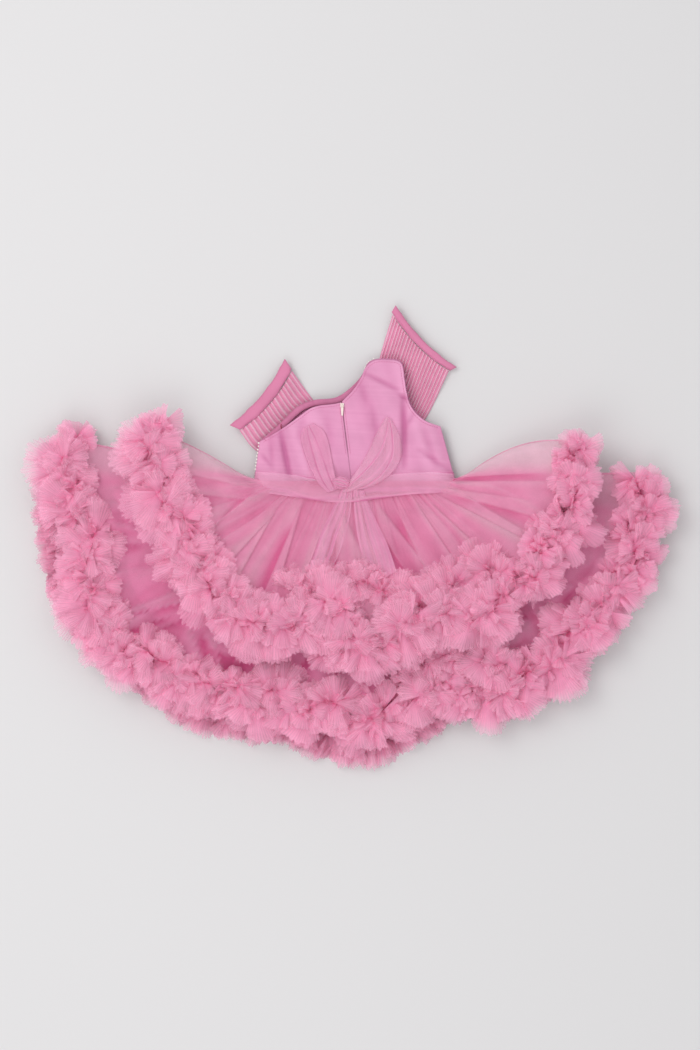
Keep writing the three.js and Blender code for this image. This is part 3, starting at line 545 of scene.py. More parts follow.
# Bow: pleated wings with bound edges
WINGS = {
    "right": {
        "sideA": [[57.4, 300.4], [39.2, 239], [23, 165], [17.3, 130]],
        "sideB": [[133.4, 224.8], [99.9, 157.3], [62, 116], [24.3, 100]],
        "corners": [[61.8, 313.9], [143.5, 231.1]], "edge": 5.0, "lift": (7, 5), "pleats": 21, "width": 190,
    },
    "left": {
        "sideA": [[-78.3, 224.8], [-50.1, 186.3], [-16, 146], [-1.3, 130]],
        "sideB": [[-148.6, 143.8], [-126.2, 116.9], [-62, 98], [-6.3, 100]],
        "corners": [[-89.4, 241.2], [-158.8, 153.9]], "edge": 7.6, "lift": (6, 14), "pleats": 16, "width": 150,
    },
}
WING_HOLLOW = 7
PLEAT_DEPTH = 2.4
POINTS_PER_PLEAT = 10
HEM_STITCHES = []


def make_wing(side, wing):
    line_a, line_b = plan_curve(wing["sideA"]), plan_curve(wing["sideB"])
    corners = np.array(wing["corners"], float)
    outward = unit(corners.sum(0) - line_a[-1] - line_b[-1])
    u = shares(POINTS_PER_PLEAT * wing["pleats"] + 1)
    v = shares(40)[:, None]
    plan = lerp(along(line_a, v), along(line_b, v), u[None, :, None])
    bend = WING_HOLLOW * 4 * u * (1 - u) * (1 - v) ** 2
    plan = plan - bend[..., None] * outward
    drift = 0.12 * noise(u * wing["pleats"] * 0.7, 31) + 0.05 * noise(v * 6 + 3 * u, 32)
    phase = (u * wing["pleats"] + drift) % 1
    fold = 1 - np.abs(2 * phase - 1)
    crisp = smooth(fold) * 0.55 + 0.45 * fold
    lift = lerp(*wing["lift"], u) * smooth(1 - v / 0.3)
    grid = np.dstack([plan, lift + WALL + PLEAT_DEPTH * (1 - 0.7 * v) * crisp])
    # Painted light and shade on the pleats: crests lighter, valleys darker, one flank of each crest lighter, with a
    # little uneven tone.
    pleat_side_light = 0.5 + 0.5 * np.sin(2 * np.pi * (phase - 0.2))
    pleat_shade = 0.1 + 0.9 * crisp**2.5 * (0.7 + 0.3 * pleat_side_light) + 0.06 * noise(v * 30, 33)
    Cloth().add(grid, pleat_shade).make_sheet(
        "bow_pleats_" + side, "bow_wing_" + side, PLEATED, "organza", wing["width"], "folded", fill=0.72,
    )

    rim = np.linspace(-0.012, 1.012, 120)
    outer = lerp(*corners, rim[:, None])
    inner = lerp(line_a[0], line_b[0], rim[:, None])
    middle = lerp(inner, outer, 0.5) - (WING_HOLLOW * 4 * rim * (1 - rim))[:, None] * outward
    height = lerp(*wing["lift"], rim) + WALL + 2.0
    centre = np.column_stack([middle, height + 0.3 * noise(rim * 9, 35)])
    width = wing["edge"] * (1 + 0.08 * noise(rim * 8, 36) + 0.04 * noise(rim * 40, 38))
    taper = np.sqrt(np.clip(near_side(rim) / 0.03 + 0.5, 0.05, 1))
    grid, shade = rolled_strip(centre, width, 2.3 * taper, twist=0.4 * noise(rim * 7, 37))
    outside = (grid[..., :2] - centre[:, None, :2]) @ outward
    pointed = np.sign(rim - 0.5) * smooth(np.abs(2 * rim - 1) * 6 - 5)
    grid[..., :2] += (0.55 * outside * pointed[:, None])[..., None] * unit(corners[1] - corners[0])
    HEM_STITCHES.append(centre[3:-3] - np.append(0.7 * wing["edge"] * outward, -1.75))
    # Painted shade from the rolled hem: lighter on top, darker underneath.
    cloth = Cloth().add(grid, 0.35 + 0.65 * shade, wrap=True, caps=True)
    names = "bow_hem_" + side, "bow_edge_" + side
    cloth.make_sheet(*names, EDGE_CLOTH, "organza", 26, "stretched", ["bow_pleats_" + side], shell=True)


def make_bow_centre():
    u = circle(40)
    v = np.linspace(0.04, np.pi - 0.04, 16)[:, None]
    waves = np.sin(7 * u)
    folds = 1 + 0.06 * waves
    x = 9 + 13 * np.sin(v) * np.cos(u) * folds
    y = 115 + 14 * np.sin(v) * np.sin(u) * folds
    # Painted light on the folds: lighter where they bulge out, darker between them.
    cloth = Cloth().add(grid_of(x, y, 4.5 + 4.0 * np.cos(v)), 0.5 + 0.4 * waves, wrap=True)
    piece = cloth.make("bow_middle", EDGE_CLOTH, "organza", ["bow_centre"])


# Skirt layers, as in the solids
UPPER_HEM = [
    [-274, 148], [-263, 110], [-248, 64], [-230, 20], [-210, -25], [-184, -70], [-148, -110], [-110, -132],
    [-74, -112], [-34, -98], [2, -122], [38, -140], [70, -118], [108, -96], [152, -104], [196, -92], [239, -47],
    [276, 2], [301, 52], [309, 92], [304, 128],
]
LOWER_HEM_BACK = [
    [-382, 134], [-375, 84], [-360, 34], [-350, -14], [-352, -62], [-342, -107], [-312, -148], [-268, -168],
    [-224, -184], [-182, -204], [-128, -216], [-74, -222], [-20, -234], [28, -236], [68, -222], [108, -204],
    [151, -202], [196, -206], [243, -188], [286, -148], [325, -106], [357, -64], [378, -18], [386, 34], [384, 88],
]
LOWER_HEM_FRONT = [
    [-382, 134], [-390, 86], [-394, 34], [-391, -14], [-380, -62], [-354, -108], [-312, -152], [-262, -194],
    [-206, -226], [-144, -243], [-82, -248], [-28, -268], [22, -276], [68, -260], [112, -228], [160, -210],
    [208, -214], [254, -192], [294, -150], [330, -106], [359, -62], [379, -16], [387, 36], [384, 88],
]
LAYERS = {
    "upper": {
        "back": UPPER_HEM, "front": UPPER_HEM, "start_y": 76, "outset": 2, "reach": 1, "in_from": 0, "bulge": (7, 22),
        "top": [[0, 22.9], [0.08, 23.3], [0.45, 47], [0.8, 60], [1, 60]],
        "bottom": [[0, 6], [0.12, 0.3], [0.66, 0.3], [0.76, 2.3], [1, 2.3]],
        "fold": [[0, 14], [0.3, 22], [1, 34]],
        "folds": 9, "depth": 4.5, "gathers": 150, "gather_depth": 1.1,
    },
    "lower": {
        "back": LOWER_HEM_BACK, "front": LOWER_HEM_FRONT, "start_y": 72, "outset": 1, "reach": 1, "in_from": 0,
        "bulge": (4, 4),
        "top": [[0, 21.2], [0.08, 21.4], [0.4, 32], [0.75, 36], [1, 31]],
        "bottom": [[0, 7.5], [0.2, 6.8], [0.84, 6.8], [0.9, 2.3], [1, 2.3]],
        "fold": [[0, 14], [0.5, 18], [1, 17]],
        "folds": 10, "depth": 2.6, "gathers": 170, "gather_depth": 1.3,
    },
    "lining": {
        "back": LOWER_HEM_BACK, "front": LOWER_HEM_BACK, "start_y": 67, "outset": -1, "reach": 0.8, "in_from": 0.035,
        "bulge": (4, 4),
        "top": [[0, 17.7], [0.12, 18], [0.5, 22.5], [1, 22.5]],
        "bottom": [[0, 10.5], [1, 10.5]],
        "fold": [[0, 14], [1, 16]],
        "folds": 6, "depth": 1.2, "gathers": 60, "gather_depth": 0.5,
    },
}
FOLD_ROLL = 0.08


def layer_point(name, side, u, v):
    """Points of a skirt layer: u runs round the fan, v from the waist to the hem."""
    layer = LAYERS[name]
    u, v = np.broadcast_arrays(u, v)
    reach = layer["outset"] * LAYER_OUTSET
    waist = grid_of(lerp(WAIST_LEFT - reach, WAIST_RIGHT + reach, u), layer["start_y"], 0)[..., :2]
    hem = along(HEM_LINES[name, side], lerp(layer["in_from"], 1 - layer["in_from"], u))
    plan = lerp(waist, hem, (v * layer["reach"])[..., None])
    plan[..., 1] += 4 * v * (1 - v) * lerp(*layer["bulge"], u) * (1 - smooth(near_side(u) / 0.2))
    if side == "back":
        uneven = u + 0.013 * np.sin(6.1 * np.pi * u + 1.3)
        deep = layer["depth"] * (0.65 + 0.35 * np.sin(10.7 * u + 0.6)) * smooth(v * 1.3)
        open_z = from_table(layer["top"], v) + deep * np.sin(2 * np.pi * layer["folds"] * uneven)
    else:
        open_z = from_table(layer["bottom"], v)
    z = lerp(from_table(layer["fold"], v), open_z, rounded_edge(near_side(u) / FOLD_ROLL))
    return np.concatenate([plan, z[..., None]], -1)


HEM_LINES = {(n, s): plan_curve(LAYERS[n][s]) for n in LAYERS for s in ("back", "front")}


def fine_folds(name, u, v, seed):
    """Gathers that run together into fewer, deeper folds, and their painted light and shade: lighter where raised,
    darker in the hollows.
    """
    layer = LAYERS[name]
    fold = 0
    for k, (share, near, far) in enumerate([(1.0, 0.6, 0.2), (0.5, 0.6, 0.6), (0.23, 0.4, 1.5)]):
        drift = 1.5 * noise(u * 14 + 1.7 * v, seed + k)
        wave = noise(u * (layer["gathers"] * share) + drift, seed + 10 + k)
        fold = fold + wave * lerp(near, far, smooth(v * 1.4))
    # Painted shade follows the gathers: lighter on raised folds, darker in hollows.
    return layer["gather_depth"] * fold, 0.5 + 0.2 * fold


# Single folds of the tiers: from x, y to x, y in the photograph, half width in mm, height, and their light or dark
TIER_FOLDS = {
    "lower": [
        (108, 618, 190, 586, 9, 5, 0.5), (112, 572, 160, 566, 16, 3, 0.35), (140, 612, 188, 602, 8, -3, -0.8),
        (150, 634, 196, 614, 8, -2, -0.5), (232, 672, 262, 646, 9, -3, -0.9), (288, 682, 306, 660, 9, -3, -0.9),
        (205, 640, 240, 668, 14, -3, -0.7), (262, 660, 284, 690, 7, 3, 0.4), (340, 690, 372, 682, 8, -2, -0.6),
        (420, 668, 452, 650, 9, -3, -0.8), (500, 640, 540, 606, 12, 3.5, 0.4), (470, 660, 520, 640, 8, -3, -0.8),
        (560, 600, 590, 560, 10, -3, -0.6), (598, 560, 612, 500, 12, 3, 0.4), (96, 500, 132, 504, 12, 3, 0.3),
        (110, 540, 140, 545, 9, -2, -0.5), (111, 626, 183, 598, 7, 3, 0.5), (118, 634, 168, 618, 8, -3, -0.7),
        (214, 636, 228, 690, 6, 3, 0.45), (204, 634, 212, 676, 7, -2.5, -0.6), (190, 626, 206, 668, 6, 2.5, 0.4),
        (236, 650, 232, 690, 6, -2.5, -0.6), (106, 520, 150, 530, 7, 2.5, 0.4), (112, 486, 136, 478, 7, 2.5, 0.35),
        (528, 600, 584, 580, 8, 3, 0.4), (520, 616, 560, 612, 7, -2.5, -0.6), (584, 540, 612, 526, 7, 2.5, 0.4),
    ],
    "upper": [
        (268, 520, 214, 580, 12, 4, 0.3), (290, 530, 262, 596, 9, -3, -0.6), (318, 540, 300, 590, 9, 3, 0.3),
        (400, 520, 430, 584, 12, -3, -0.5), (432, 506, 490, 560, 14, 4, 0.35), (450, 496, 540, 520, 12, -3, -0.5),
        (240, 498, 180, 516, 12, -3, -0.4), (246, 486, 170, 470, 14, 4, 0.35), (262, 512, 196, 556, 10, -2.5, -0.4),
        (232, 506, 188, 560, 16, 4, 0.4), (300, 510, 280, 580, 14, 4, 0.4), (346, 520, 372, 580, 16, 4, 0.4),
        (366, 512, 404, 572, 10, -3, -0.5), (470, 500, 520, 530, 16, 4, 0.4), (440, 488, 520, 500, 12, 3, 0.3),
        (252, 494, 206, 532, 9, -2.5, -0.5), (334, 512, 336, 570, 9, -2.5, -0.4), (476, 470, 540, 462, 12, 3.5, 0.35),
        (256, 480, 178, 452, 8, 2.5, 0.4), (254, 500, 176, 492, 7, 2.5, 0.4), (274, 514, 232, 590, 8, 3, 0.45),
        (380, 508, 420, 560, 9, 3, 0.45), (456, 482, 548, 482, 8, 2.5, 0.45), (446, 500, 530, 544, 8, 3, 0.45),
        (420, 510, 462, 574, 9, 3, 0.4), (462, 478, 540, 474, 6, -2, -0.4), (330, 520, 322, 580, 7, 2.5, 0.4),
    ],
}


def single_folds(name, x, y):
    """Height and light of the tier's single folds, each soft on one side and sharp on the other."""
    height, light = np.zeros_like(x), np.zeros_like(x)
    for x0, y0, x1, y1, width, rise, tone in TIER_FOLDS.get(name, []):
        (x0, y0), (x1, y1) = photo_plan(x0, y0), photo_plan(x1, y1)
        dx, dy = x1 - x0, y1 - y0
        t = ((x - x0) * dx + (y - y0) * dy) / (dx * dx + dy * dy)
        away = ((x - x0) * dy - (y - y0) * dx) / math.hypot(dx, dy)
        form = bell(away / np.where(away > 0, width, 0.14 * width))
        form = form * smooth((t + 0.25) / 0.4) * smooth((1.25 - t) / 0.4)
        height += rise * form
        light += tone * form
    return height, light


def sheer_side(u, width):
    """1 at the side folds, where one layer shows by itself, and 0 further in."""
    return 1 - smooth((near_side(u) - 0.5 * width) / (0.6 * width))


def make_layer(name, material, slot, columns, rows, seed, sheer):
    ends = np.linspace(0, 0.06, 8)
    for side, part in (("back", 1), ("front", 2)):
        u = np.concatenate([ends[:-1], np.linspace(0.06, 0.94, columns // part), 1 - ends[::-1][1:]])[None]
        v = shares(rows // part)[:, None]
        grid = layer_point(name, side, u, v)
        folds, shade = fine_folds(name, u, v, seed)
        inside = smooth(near_side(u) / 0.1)
        if side == "back":
            raised, light = single_folds(name, grid[..., 0], grid[..., 1])
            grid[..., 2] += (folds + raised) * inside * smooth(v / 0.04) + 0.1
            # Painted light and shade of the single folds, and a painted shadow along the waist under the sash.
            shade = shade + 0.85 * light - 0.5 * bell(v / 0.07)
        else:
            grid[..., 2] += np.abs(folds) * 0.3 * inside
        grid[..., 2] = np.maximum(grid[..., 2], 0.25)
        cloth = Cloth().add(grid, lerp(shade * 0.75, 1.0, sheer_side(u, sheer)))
        if side == "back" and name != "lining":
            for edge in (0.002, 0.998):
                line = layer_point(name, side, np.full(90, edge), np.linspace(0.02, 0.97, 90))
                cloth.add(rolled_strip(line, 0.5, 0.4, sides=6)[0], 0.5, wrap=True)
        part_name = ("lining_" if name == "lining" else name + "_tier_") + side
        cloth.make_sheet(
            part_name + "_cloth", part_name, material, slot, 250 if name == "upper" else 330, "gathered", fill=0.8,
        )


# Ruffles: fans of net that open from gathered points along a wandering seam
PLEAT_PITCH = 3.6
LOWEST = 0.4
SWELL_PITCH = 84
RIBBON_STEP, RIBBON_SWING, RIBBON_PITCH = 1.4, 7, 17
SEAM_INSET = 4.0
# One cluster of fans, ring by ring from the lowest: how many, reach, half the angle of each, lift and curl in radians
CLUSTER = [(6, 43, 0.95, 0.0, 0.25), (5, 38, 0.95, 0.38, 0.8), (4, 29, 0.95, 0.75, 1.1), (2, 20, 0.9, 1.2, 1.0)]


def fan(cloth, root, heading, reach, half, lift, curl, rng, tone=0.0):
    """A fan of pleated net that rises from its root at its lift and bends back down by its curl."""
    columns = 2 * max(4, int(reach * 2 * half / PLEAT_PITCH)) + 1
    s = np.linspace(-1, 1, columns)
    pleat = np.where(np.arange(columns) % 2, 1.0, -1.0) * rng.uniform(0.3, 1.0, columns)
    wave = np.sin(s * rng.uniform(2.0, 4.5) + rng.uniform(0, 6.3))
    length = reach * (1 - 0.14 * s**2 + 0.08 * wave + rng.uniform(-0.07, 0.07, columns))
    slope = lift + 0.26 * wave + rng.uniform(-0.25, 0.25) * s
    turn = heading + half * (s + 0.1 * wave)
    out = np.stack([np.cos(turn), np.sin(turn)], 1)
    place = np.zeros((columns, 3)) + root
    place[:, 0] -= 3.5 * s * math.sin(heading)
    place[:, 1] += 3.5 * s * math.cos(heading)
    # The root row carries a dark painted shade where the fans gather.
    grid, shade = [place.copy()], [np.full(columns, 0.05)]
    t = shares(6)
    for before, after in zip(t, t[1:]):
        angle = slope - 1.4 * curl * ((before + after) / 2) ** 1.3
        advance = length * (after - before)
        place[:, :2] += out * (advance * np.cos(angle))[:, None]
        place[:, 2] += advance * np.sin(angle)
        normal = np.column_stack([-out * np.sin(angle)[:, None], np.cos(angle)])
        push = 0.65 * pleat * after**0.5 + 2.8 * wave * after
        grid.append(place + normal * push[:, None])
        # Painted shade: lighter towards the rim, pleat crests lighter and valleys darker, shifted by its tone, the
        # cluster's painted shade.
        shade.append(0.3 + tone + 0.62 * after**0.8 + 0.14 * pleat * (1.1 - 0.5 * after))
    grid = np.stack(grid)
    grid[..., 2] = np.maximum(grid[..., 2], LOWEST)
    cloth.add(grid, np.stack(shade))


def clusters(flanks, seam, spacing, scale, seed, size, lift=0.0, inner=None):
    """Clusters of fans along a seam; each fan goes to the flank that it lies on."""
    rng = np.random.default_rng(seed)
    line = resampled(seam, spacing)
    for index, (centre, forward) in enumerate(zip(line, directions(line)[0])):
        swell = math.sin(2 * math.pi * index * spacing / SWELL_PITCH + seed)
        wide = scale * (rng.uniform(0.86, 1.12) + 0.14 * swell) * size(centre[0])
        wide *= 0.9 if index in (0, len(line) - 1) else 1
        # Painted shade: clusters are darker where the swell dips between them and towards the right, where less light
        # falls.
        tone = 0.09 * swell - 0.02 - 0.07 * smooth((centre[0] - 160) / 70)
        centre = centre + (0, 0, 4 * swell)
        for ring, (count, reach, half, rise, curl) in enumerate(CLUSTER):
            for k in range(count):
                side = 1 if k % 2 else -1
                heading = math.atan2(-side * forward[0], side * forward[1]) + rng.normal(0, 0.62)
                outward = math.cos(heading) * forward[1] - math.sin(heading) * forward[0]
                far = reach * wide * rng.uniform(0.8, 1.15)
                if outward < 0 and inner:
                    far *= inner(centre[0])
                start = centre + (0, 0, 1.6 * ring + rng.uniform(-2, 2))
                start[:2] += forward * rng.uniform(-0.5, 0.5) * spacing
                flank = flanks["outer" if outward > 0 else "inner"]
                fan(flank, start, heading, far, half * rng.uniform(0.75, 1.1), rise + lift, curl, rng, tone)


def ribbon(cloth, seam, seed, height=15):
    """The crumpled edge that stands up over the seam, in tight turns."""
    line = resampled(seam, RIBBON_STEP)
    at = np.arange(len(line)) * RIBBON_STEP
    tangent, across = directions(line)
    phase = 2 * np.pi * (at / RIBBON_PITCH + 0.7 * noise(at / 24, seed))
    turns = np.sin(phase) * (0.8 + 0.5 * noise(at / 20, seed + 1)) + 0.8 * noise(at / 9, seed + 2)
    offset = RIBBON_SWING * turns
    lean = 7 * noise(at / 15, seed + 3)
    tall = height * (0.8 + 0.3 * noise(at / 18, seed + 4) + 0.08 * noise(at / 1.5, seed + 5))
    jitter = 2 * noise(at / 4, seed + 6)
    grid, shade = [], []
    for t in shares(6):
        place = line.copy()
        place[:, :2] += across * (offset * (1 + 0.35 * t) + lean * t**1.5)[:, None] + tangent * (jitter * t)[:, None]
        place[:, 2] += 2 + tall * t
        grid.append(place)
        # Painted shade: dark low at the seam and lighter towards the top, with a little uneven tone.
        shade.append(0.2 + 0.72 * t + 0.1 * noise(at / 1.8, seed + 7))
    cloth.add(np.stack(grid), np.stack(shade))


def wandering(hem, across, height, swing, pitch, seed):
    """A seam that swings from side to side along a hem."""
    hem = resampled(hem, 1.0)
    at = np.arange(len(hem))
    tangent, sideways = directions(hem)
    phase = 2 * np.pi * (at / pitch + 0.4 * noise(at / (1.1 * pitch), seed))
    turns = np.sin(phase) * (0.8 + 0.4 * noise(at / (0.8 * pitch), seed + 1)) + 0.3 * noise(at / 13, seed + 2)
    forward = 0.35 * swing * np.sin(2 * phase + 0.8)
    plan = hem[:, :2] + sideways * (swing * turns + across)[:, None] + tangent * forward[:, None]
    return np.column_stack([plan, hem[:, 2] + height + 2.5 * np.cos(phase * 0.5 + seed)])


def hem_line(name, side, start, end):
    """The line of a ruffle's seam, just inside a tier's hem."""
    u = np.linspace(start, end, 500)
    return layer_point(name, side, u, np.full(500, 1 - SEAM_INSET / 180))


# Rows that lie doubled up on the tiers: [photo x, photo y] along each, its height and its fans' scale
DOUBLED_ROWS = {
    "upper": [
        ([[284, 600], [306, 588], [332, 592], [358, 582], [386, 590], [404, 602]], 50, 0.8),
        ([[428, 606], [446, 590], [468, 576], [492, 572], [514, 578]], 52, 0.8),
        ([[334, 650], [356, 642], [384, 640], [404, 634]], 54, 0.85),
    ],
    "lower": [
        ([[418, 670], [440, 658], [464, 654], [490, 662]], 36, 0.85),
    ],
}


def upper_size(x):
    """The upper ruffle's scale, smaller on the right."""
    return 1 - 0.16 * smooth((x - 190) / 50)


def lower_size(x):
    """The lower ruffle's scale, larger on the far left."""
    return 1 + 0.06 * smooth((-x - 300) / 60) - 0.14 * smooth((x - 300) / 50)


def lower_inner(x):
    """The scale of the lower ruffle's inner fans, small where the tier shows between the rows."""
    return lerp(0.95, 0.8, smooth((-x - 210) / 60)) - 0.5 * bell((x + 175) / 50) - 0.35 * bell((x - 7) / 26)


# Each back ruffle's two scales, how far out its seam lies, and where along the hem it starts and ends
BACK_RUFFLES = {
    "upper": (upper_size, lambda x: 0.85, -1, 0.017, 0.989),
    "lower": (lower_size, lower_inner, 5, 0.013, 0.98),
}


def make_back_ruffle(name, swing, pitch, seed, spacing):
    flanks = {"inner": Cloth(), "outer": Cloth()}
    size, inner, across, start, end = BACK_RUFFLES[name]
    hem = hem_line(name, "back", start, end)
    if name == "upper":
        hem[:, 0] -= 9 * smooth((hem[:, 0] - 240) / 40) * smooth((hem[:, 1] - 50) / 50)
    seam = wandering(hem, across, 4.0, swing, pitch, seed)
    clusters(flanks, seam, spacing, 1.0, seed + 1, size, inner=inner)
    ribbon(flanks["inner"], seam, seed + 9)
    for k, (points, height, scale) in enumerate(DOUBLED_ROWS[name]):
        row = wandering(grid_of(*photo_curve(points).T, height), 0, 0, 6, 40, seed + 5 + k)
        clusters(flanks, row, 30, scale, seed + 20 + k, size, 0.2)
        ribbon(flanks["outer"], row, seed + 30 + k, height=11)
    for flank, cloth in flanks.items():
        names = name + "_frill_" + flank, name + "_ruffle_back_" + flank
        cloth.make_sheet(*names, FRILL_NET, "ruffle", 30, "gathered", [name + "_tier_back_cloth"])


def make_front_ruffle(name, layers, seed, top):
    """Fans all round the front's hem, in layers of side, reach, lift and curl."""
    rng = np.random.default_rng(seed)
    seam = hem_line(name, "front", 0.02, 0.97)
    seam[:, 2] = 0.8
    cloth = Cloth()
    line = resampled(seam, 17)
    for side, reach, lift, curl in layers:
        for root, (tx, ty) in zip(line, directions(line)[0]):
            heading = math.atan2(-side * tx, side * ty) + rng.uniform(-0.25, 0.25)
            fan(cloth, root, heading, reach * rng.uniform(0.85, 1.12), 0.55, lift, curl, rng)
    for points in cloth.points:
        points[:, 2] = np.clip(points[:, 2], LOWEST, top)
    cloth.make_sheet(name + "_frill_front", name + "_ruffle_front", FRILL_NET, "ruffle", 30, "gathered")


# Sash, knot, loops and tails
SASH_OUTSET, SASH_TOP, SASH_UNDER = 1.0, 26.2, 7.5
SASH_SIDE_LOW, SASH_SIDE_HIGH = 60, 88
SASH_KNOT_LOW, SASH_KNOT_HIGH = 47, 78
SASH_KNOT_X, SASH_SPREAD = -12, 95


def sash_plan(u, v, dips):
    """The band's plan, which dips towards the knot."""
    away = (lerp(WAIST_LEFT, WAIST_RIGHT, u) - SASH_KNOT_X) / SASH_SPREAD
    dip = np.exp(-(away**2) * 2) * smooth(near_side(u) / 0.15) * dips
    low, high = lerp(SASH_SIDE_LOW, SASH_KNOT_LOW, dip), lerp(SASH_SIDE_HIGH, SASH_KNOT_HIGH, dip)
    y = lerp(low, high, v)
    left, right = side_seams(y)
    return lerp(left - SASH_OUTSET, right + SASH_OUTSET, u), y


def make_sash():
    u = shares(160)[:, None]
    v = shares(26)[None]
    rounded = rounded_edge(near_side(u) / 0.065)
    ridge = noise(v * 5 + 1.3 * noise(u * 7, 51), 52)
    # Painted shadow along the band's lower edge, and a darker line along its upper edge.
    edges = 0.4 * bell(v / 0.07) + 0.25 * bell((v - 1) / 0.04)
    halves = []
    for level, raised in ((SASH_TOP, 1.3 * ridge + 2.0 * bell(v / 0.2)), (SASH_UNDER, 0)):
        x, y = sash_plan(u, v, 1.0 if level == SASH_TOP else 0.0)
        halves.append(grid_of(x, y, lerp(SIDE_SEAM_Z, level, rounded) + raised * rounded))
    # Painted light on the raised ridges, less the painted edge shade.
    shade = 0.5 + 0.4 * ridge - edges
    ring, shade = (np.concatenate([a, b[::-1][1:-1]]) for a, b in (halves, (shade, shade)))
    Cloth().add(ring.transpose(1, 0, 2), shade.T, wrap=True).make_sheet(
        "sash_band", "sash", SASH_NET, "tulle", 40, "stretched",
        ["bodice_back_left_cloth", "bodice_back_right_cloth"],
    )

    around = circle(48)
    polar = np.linspace(0.03, np.pi - 0.03, 24)[:, None]
    waves = np.sin(9 * around + 4 * polar)
    swirl = 1 + 0.07 * waves
    y = 73.5 + 8.2 * np.sin(polar) * np.cos(around) * swirl
    z = 31.4 + 5.0 * np.sin(polar) * np.sin(around) * swirl
    # Painted light on the knot's folds: lighter where they bulge, darker between them.
    cloth = Cloth().add(grid_of(SASH_KNOT_X + 11 * np.cos(polar), y, z), 0.5 + 0.4 * waves, wrap=True)
    piece = cloth.make("sash_knot_folds", SASH_NET, "tulle", ["sash_knot"])


# Each loop's edges from the knot to its top, as points of the photograph, and its folds: place, drift and depth
LOOPS = {
    "left": {
        "left_edge": [[328, 493], [319, 484], [311, 470], [304, 452], [301, 438], [304, 428]],
        "right_edge": [[339, 489], [335, 474], [332, 458], [329, 443], [324, 431], [314, 424]],
        "folds": [(0.3, 0.1, 0.5), (0.62, -0.2, 0.4)],
        "full": 1.6, "wall": 0.8, "tone": 0.42, "line": 0.3, "far_edge": 0.2,
    },
    "right": {
        "left_edge": [[342, 492], [351, 479], [361, 464], [369, 450], [376, 434], [386, 417]],
        "right_edge": [[350, 492], [373, 486], [391, 474], [401, 458], [400, 438], [391, 419]],
        "folds": [(0.3, 0.3, 1.0), (0.74, -0.3, 0.9), (0.6, 0.1, 0.3)],
        "full": 5, "wall": 2.0, "tone": 0.72, "line": 0.6, "far_edge": 0.8,
    },
}


def make_loop(side, loop, seed):
    u, v = shares(64)[:, None], shares(40)[None]
    left, right = (along(photo_curve(loop[edge]), u) for edge in ("left_edge", "right_edge"))
    plan = lerp(left, right, v[..., None])
    x, y = plan[..., 0], plan[..., 1]
    on_back, on_sash = back_z(x, y) + 0.6, lerp(26.8, 15.0, smooth((y - 88) / 24))
    base = 0.5 * (on_back + on_sash + np.hypot(on_back - on_sash, 1.5))
    ribs = noise(v * 12 + 0.8 * noise(u * 4, seed), seed + 1)
    ends = rounded_edge((1 - u) / 0.12)
    sides = np.sqrt(np.clip(1 - np.abs(2 * v - 1) ** 2.4, 0, 1))
    crown = loop["full"] * np.sin(np.pi * np.clip(0.08 + u * 0.85, 0, 1)) ** 0.7 * (0.5 + 0.5 * np.sin(np.pi * v))
    crease = 0
    for at, drift, depth in loop["folds"]:
        crease = crease + depth * bell((v - at - drift * (u - 0.5)) / 0.03) * smooth(u / 0.15)
    height = lerp(0.5, loop["wall"] + crown, ends) * sides + (0.4 * ribs - 1.2 * crease) * sides * ends
    top, low = grid_of(x, y, base + 0.8 + height), grid_of(x, y, base + 0.2)
    edge = np.abs(2 * v - 1) ** 26 * (0.55 + 0.5 * noise(u * 6, seed + 3)) * np.where(v < 0.5, 1, loop["far_edge"])
    lit = 0.12 * smooth((v - 0.2) / 0.2) * smooth((0.6 - v) / 0.2)
    # Painted light and shade: lighter on raised ribs, a painted highlight across the middle, painted shade in the
    # creases, and darker lines along the edges.
    shade = loop["tone"] + 0.08 * ribs + lit - loop["line"] * edge - 0.6 * crease
    ring = np.hstack([top, low[:, ::-1][:, 1:-1]])
    shade = np.hstack([shade, np.ones_like(shade[:, 1:-1])])
    cloth = Cloth().add(ring, shade, wrap=True, caps=True)
    names = "sash_bow_loop_" + side, "sash_loop_" + side
    cloth.make_sheet(*names, SASH_NET, "tulle", 60, "folded", ["bodice_back_" + side + "_cloth"], shell=True)


# Each tail's line on the upper tier, as the layer's u and v, and half its width in u
TAILS = {
    "left": [[0.465, 0.06, 0.022], [0.455, 0.2, 0.03], [0.44, 0.38, 0.034], [0.415, 0.74, 0.03]],
    "right": [[0.515, 0.06, 0.022], [0.53, 0.22, 0.032], [0.548, 0.42, 0.036], [0.562, 0.64, 0.03]],
}


def make_tail(side, rows, seed):
    t = shares(60)[:, None]
    s = np.linspace(-1, 1, 24)[None]
    across, down, half_width = np.moveaxis(along(plan_curve(rows, step=0.01), t), -1, 0)
    grid = layer_point("upper", "back", across + s * half_width, down)
    ribs = noise(s * 5 + 0.6 * noise(t * 4, seed), seed + 1)
    grid[..., 2] += 2.6 + 3.6 * (1 - smooth(t / 0.15)) + 1.2 * ribs
    # Painted light on the tail's ribs: lighter where raised, darker between them.
    cloth = Cloth().add(grid, 0.6 + 0.4 * ribs)
    names = "sash_bow_tail_" + side, "sash_tail_" + side
    cloth.make_sheet(*names, SASH_NET, "tulle", 45, "laid", ["upper_tier_back_cloth"], fill=0.85)


# Rows of stitches along the bodice's edges, the zip and the bow's hems
STITCH_PITCH, STITCH_LENGTH = 3.4, 2.3
EDGE_TO_STITCH, ZIP_TO_STITCH = 3.0, 3.2


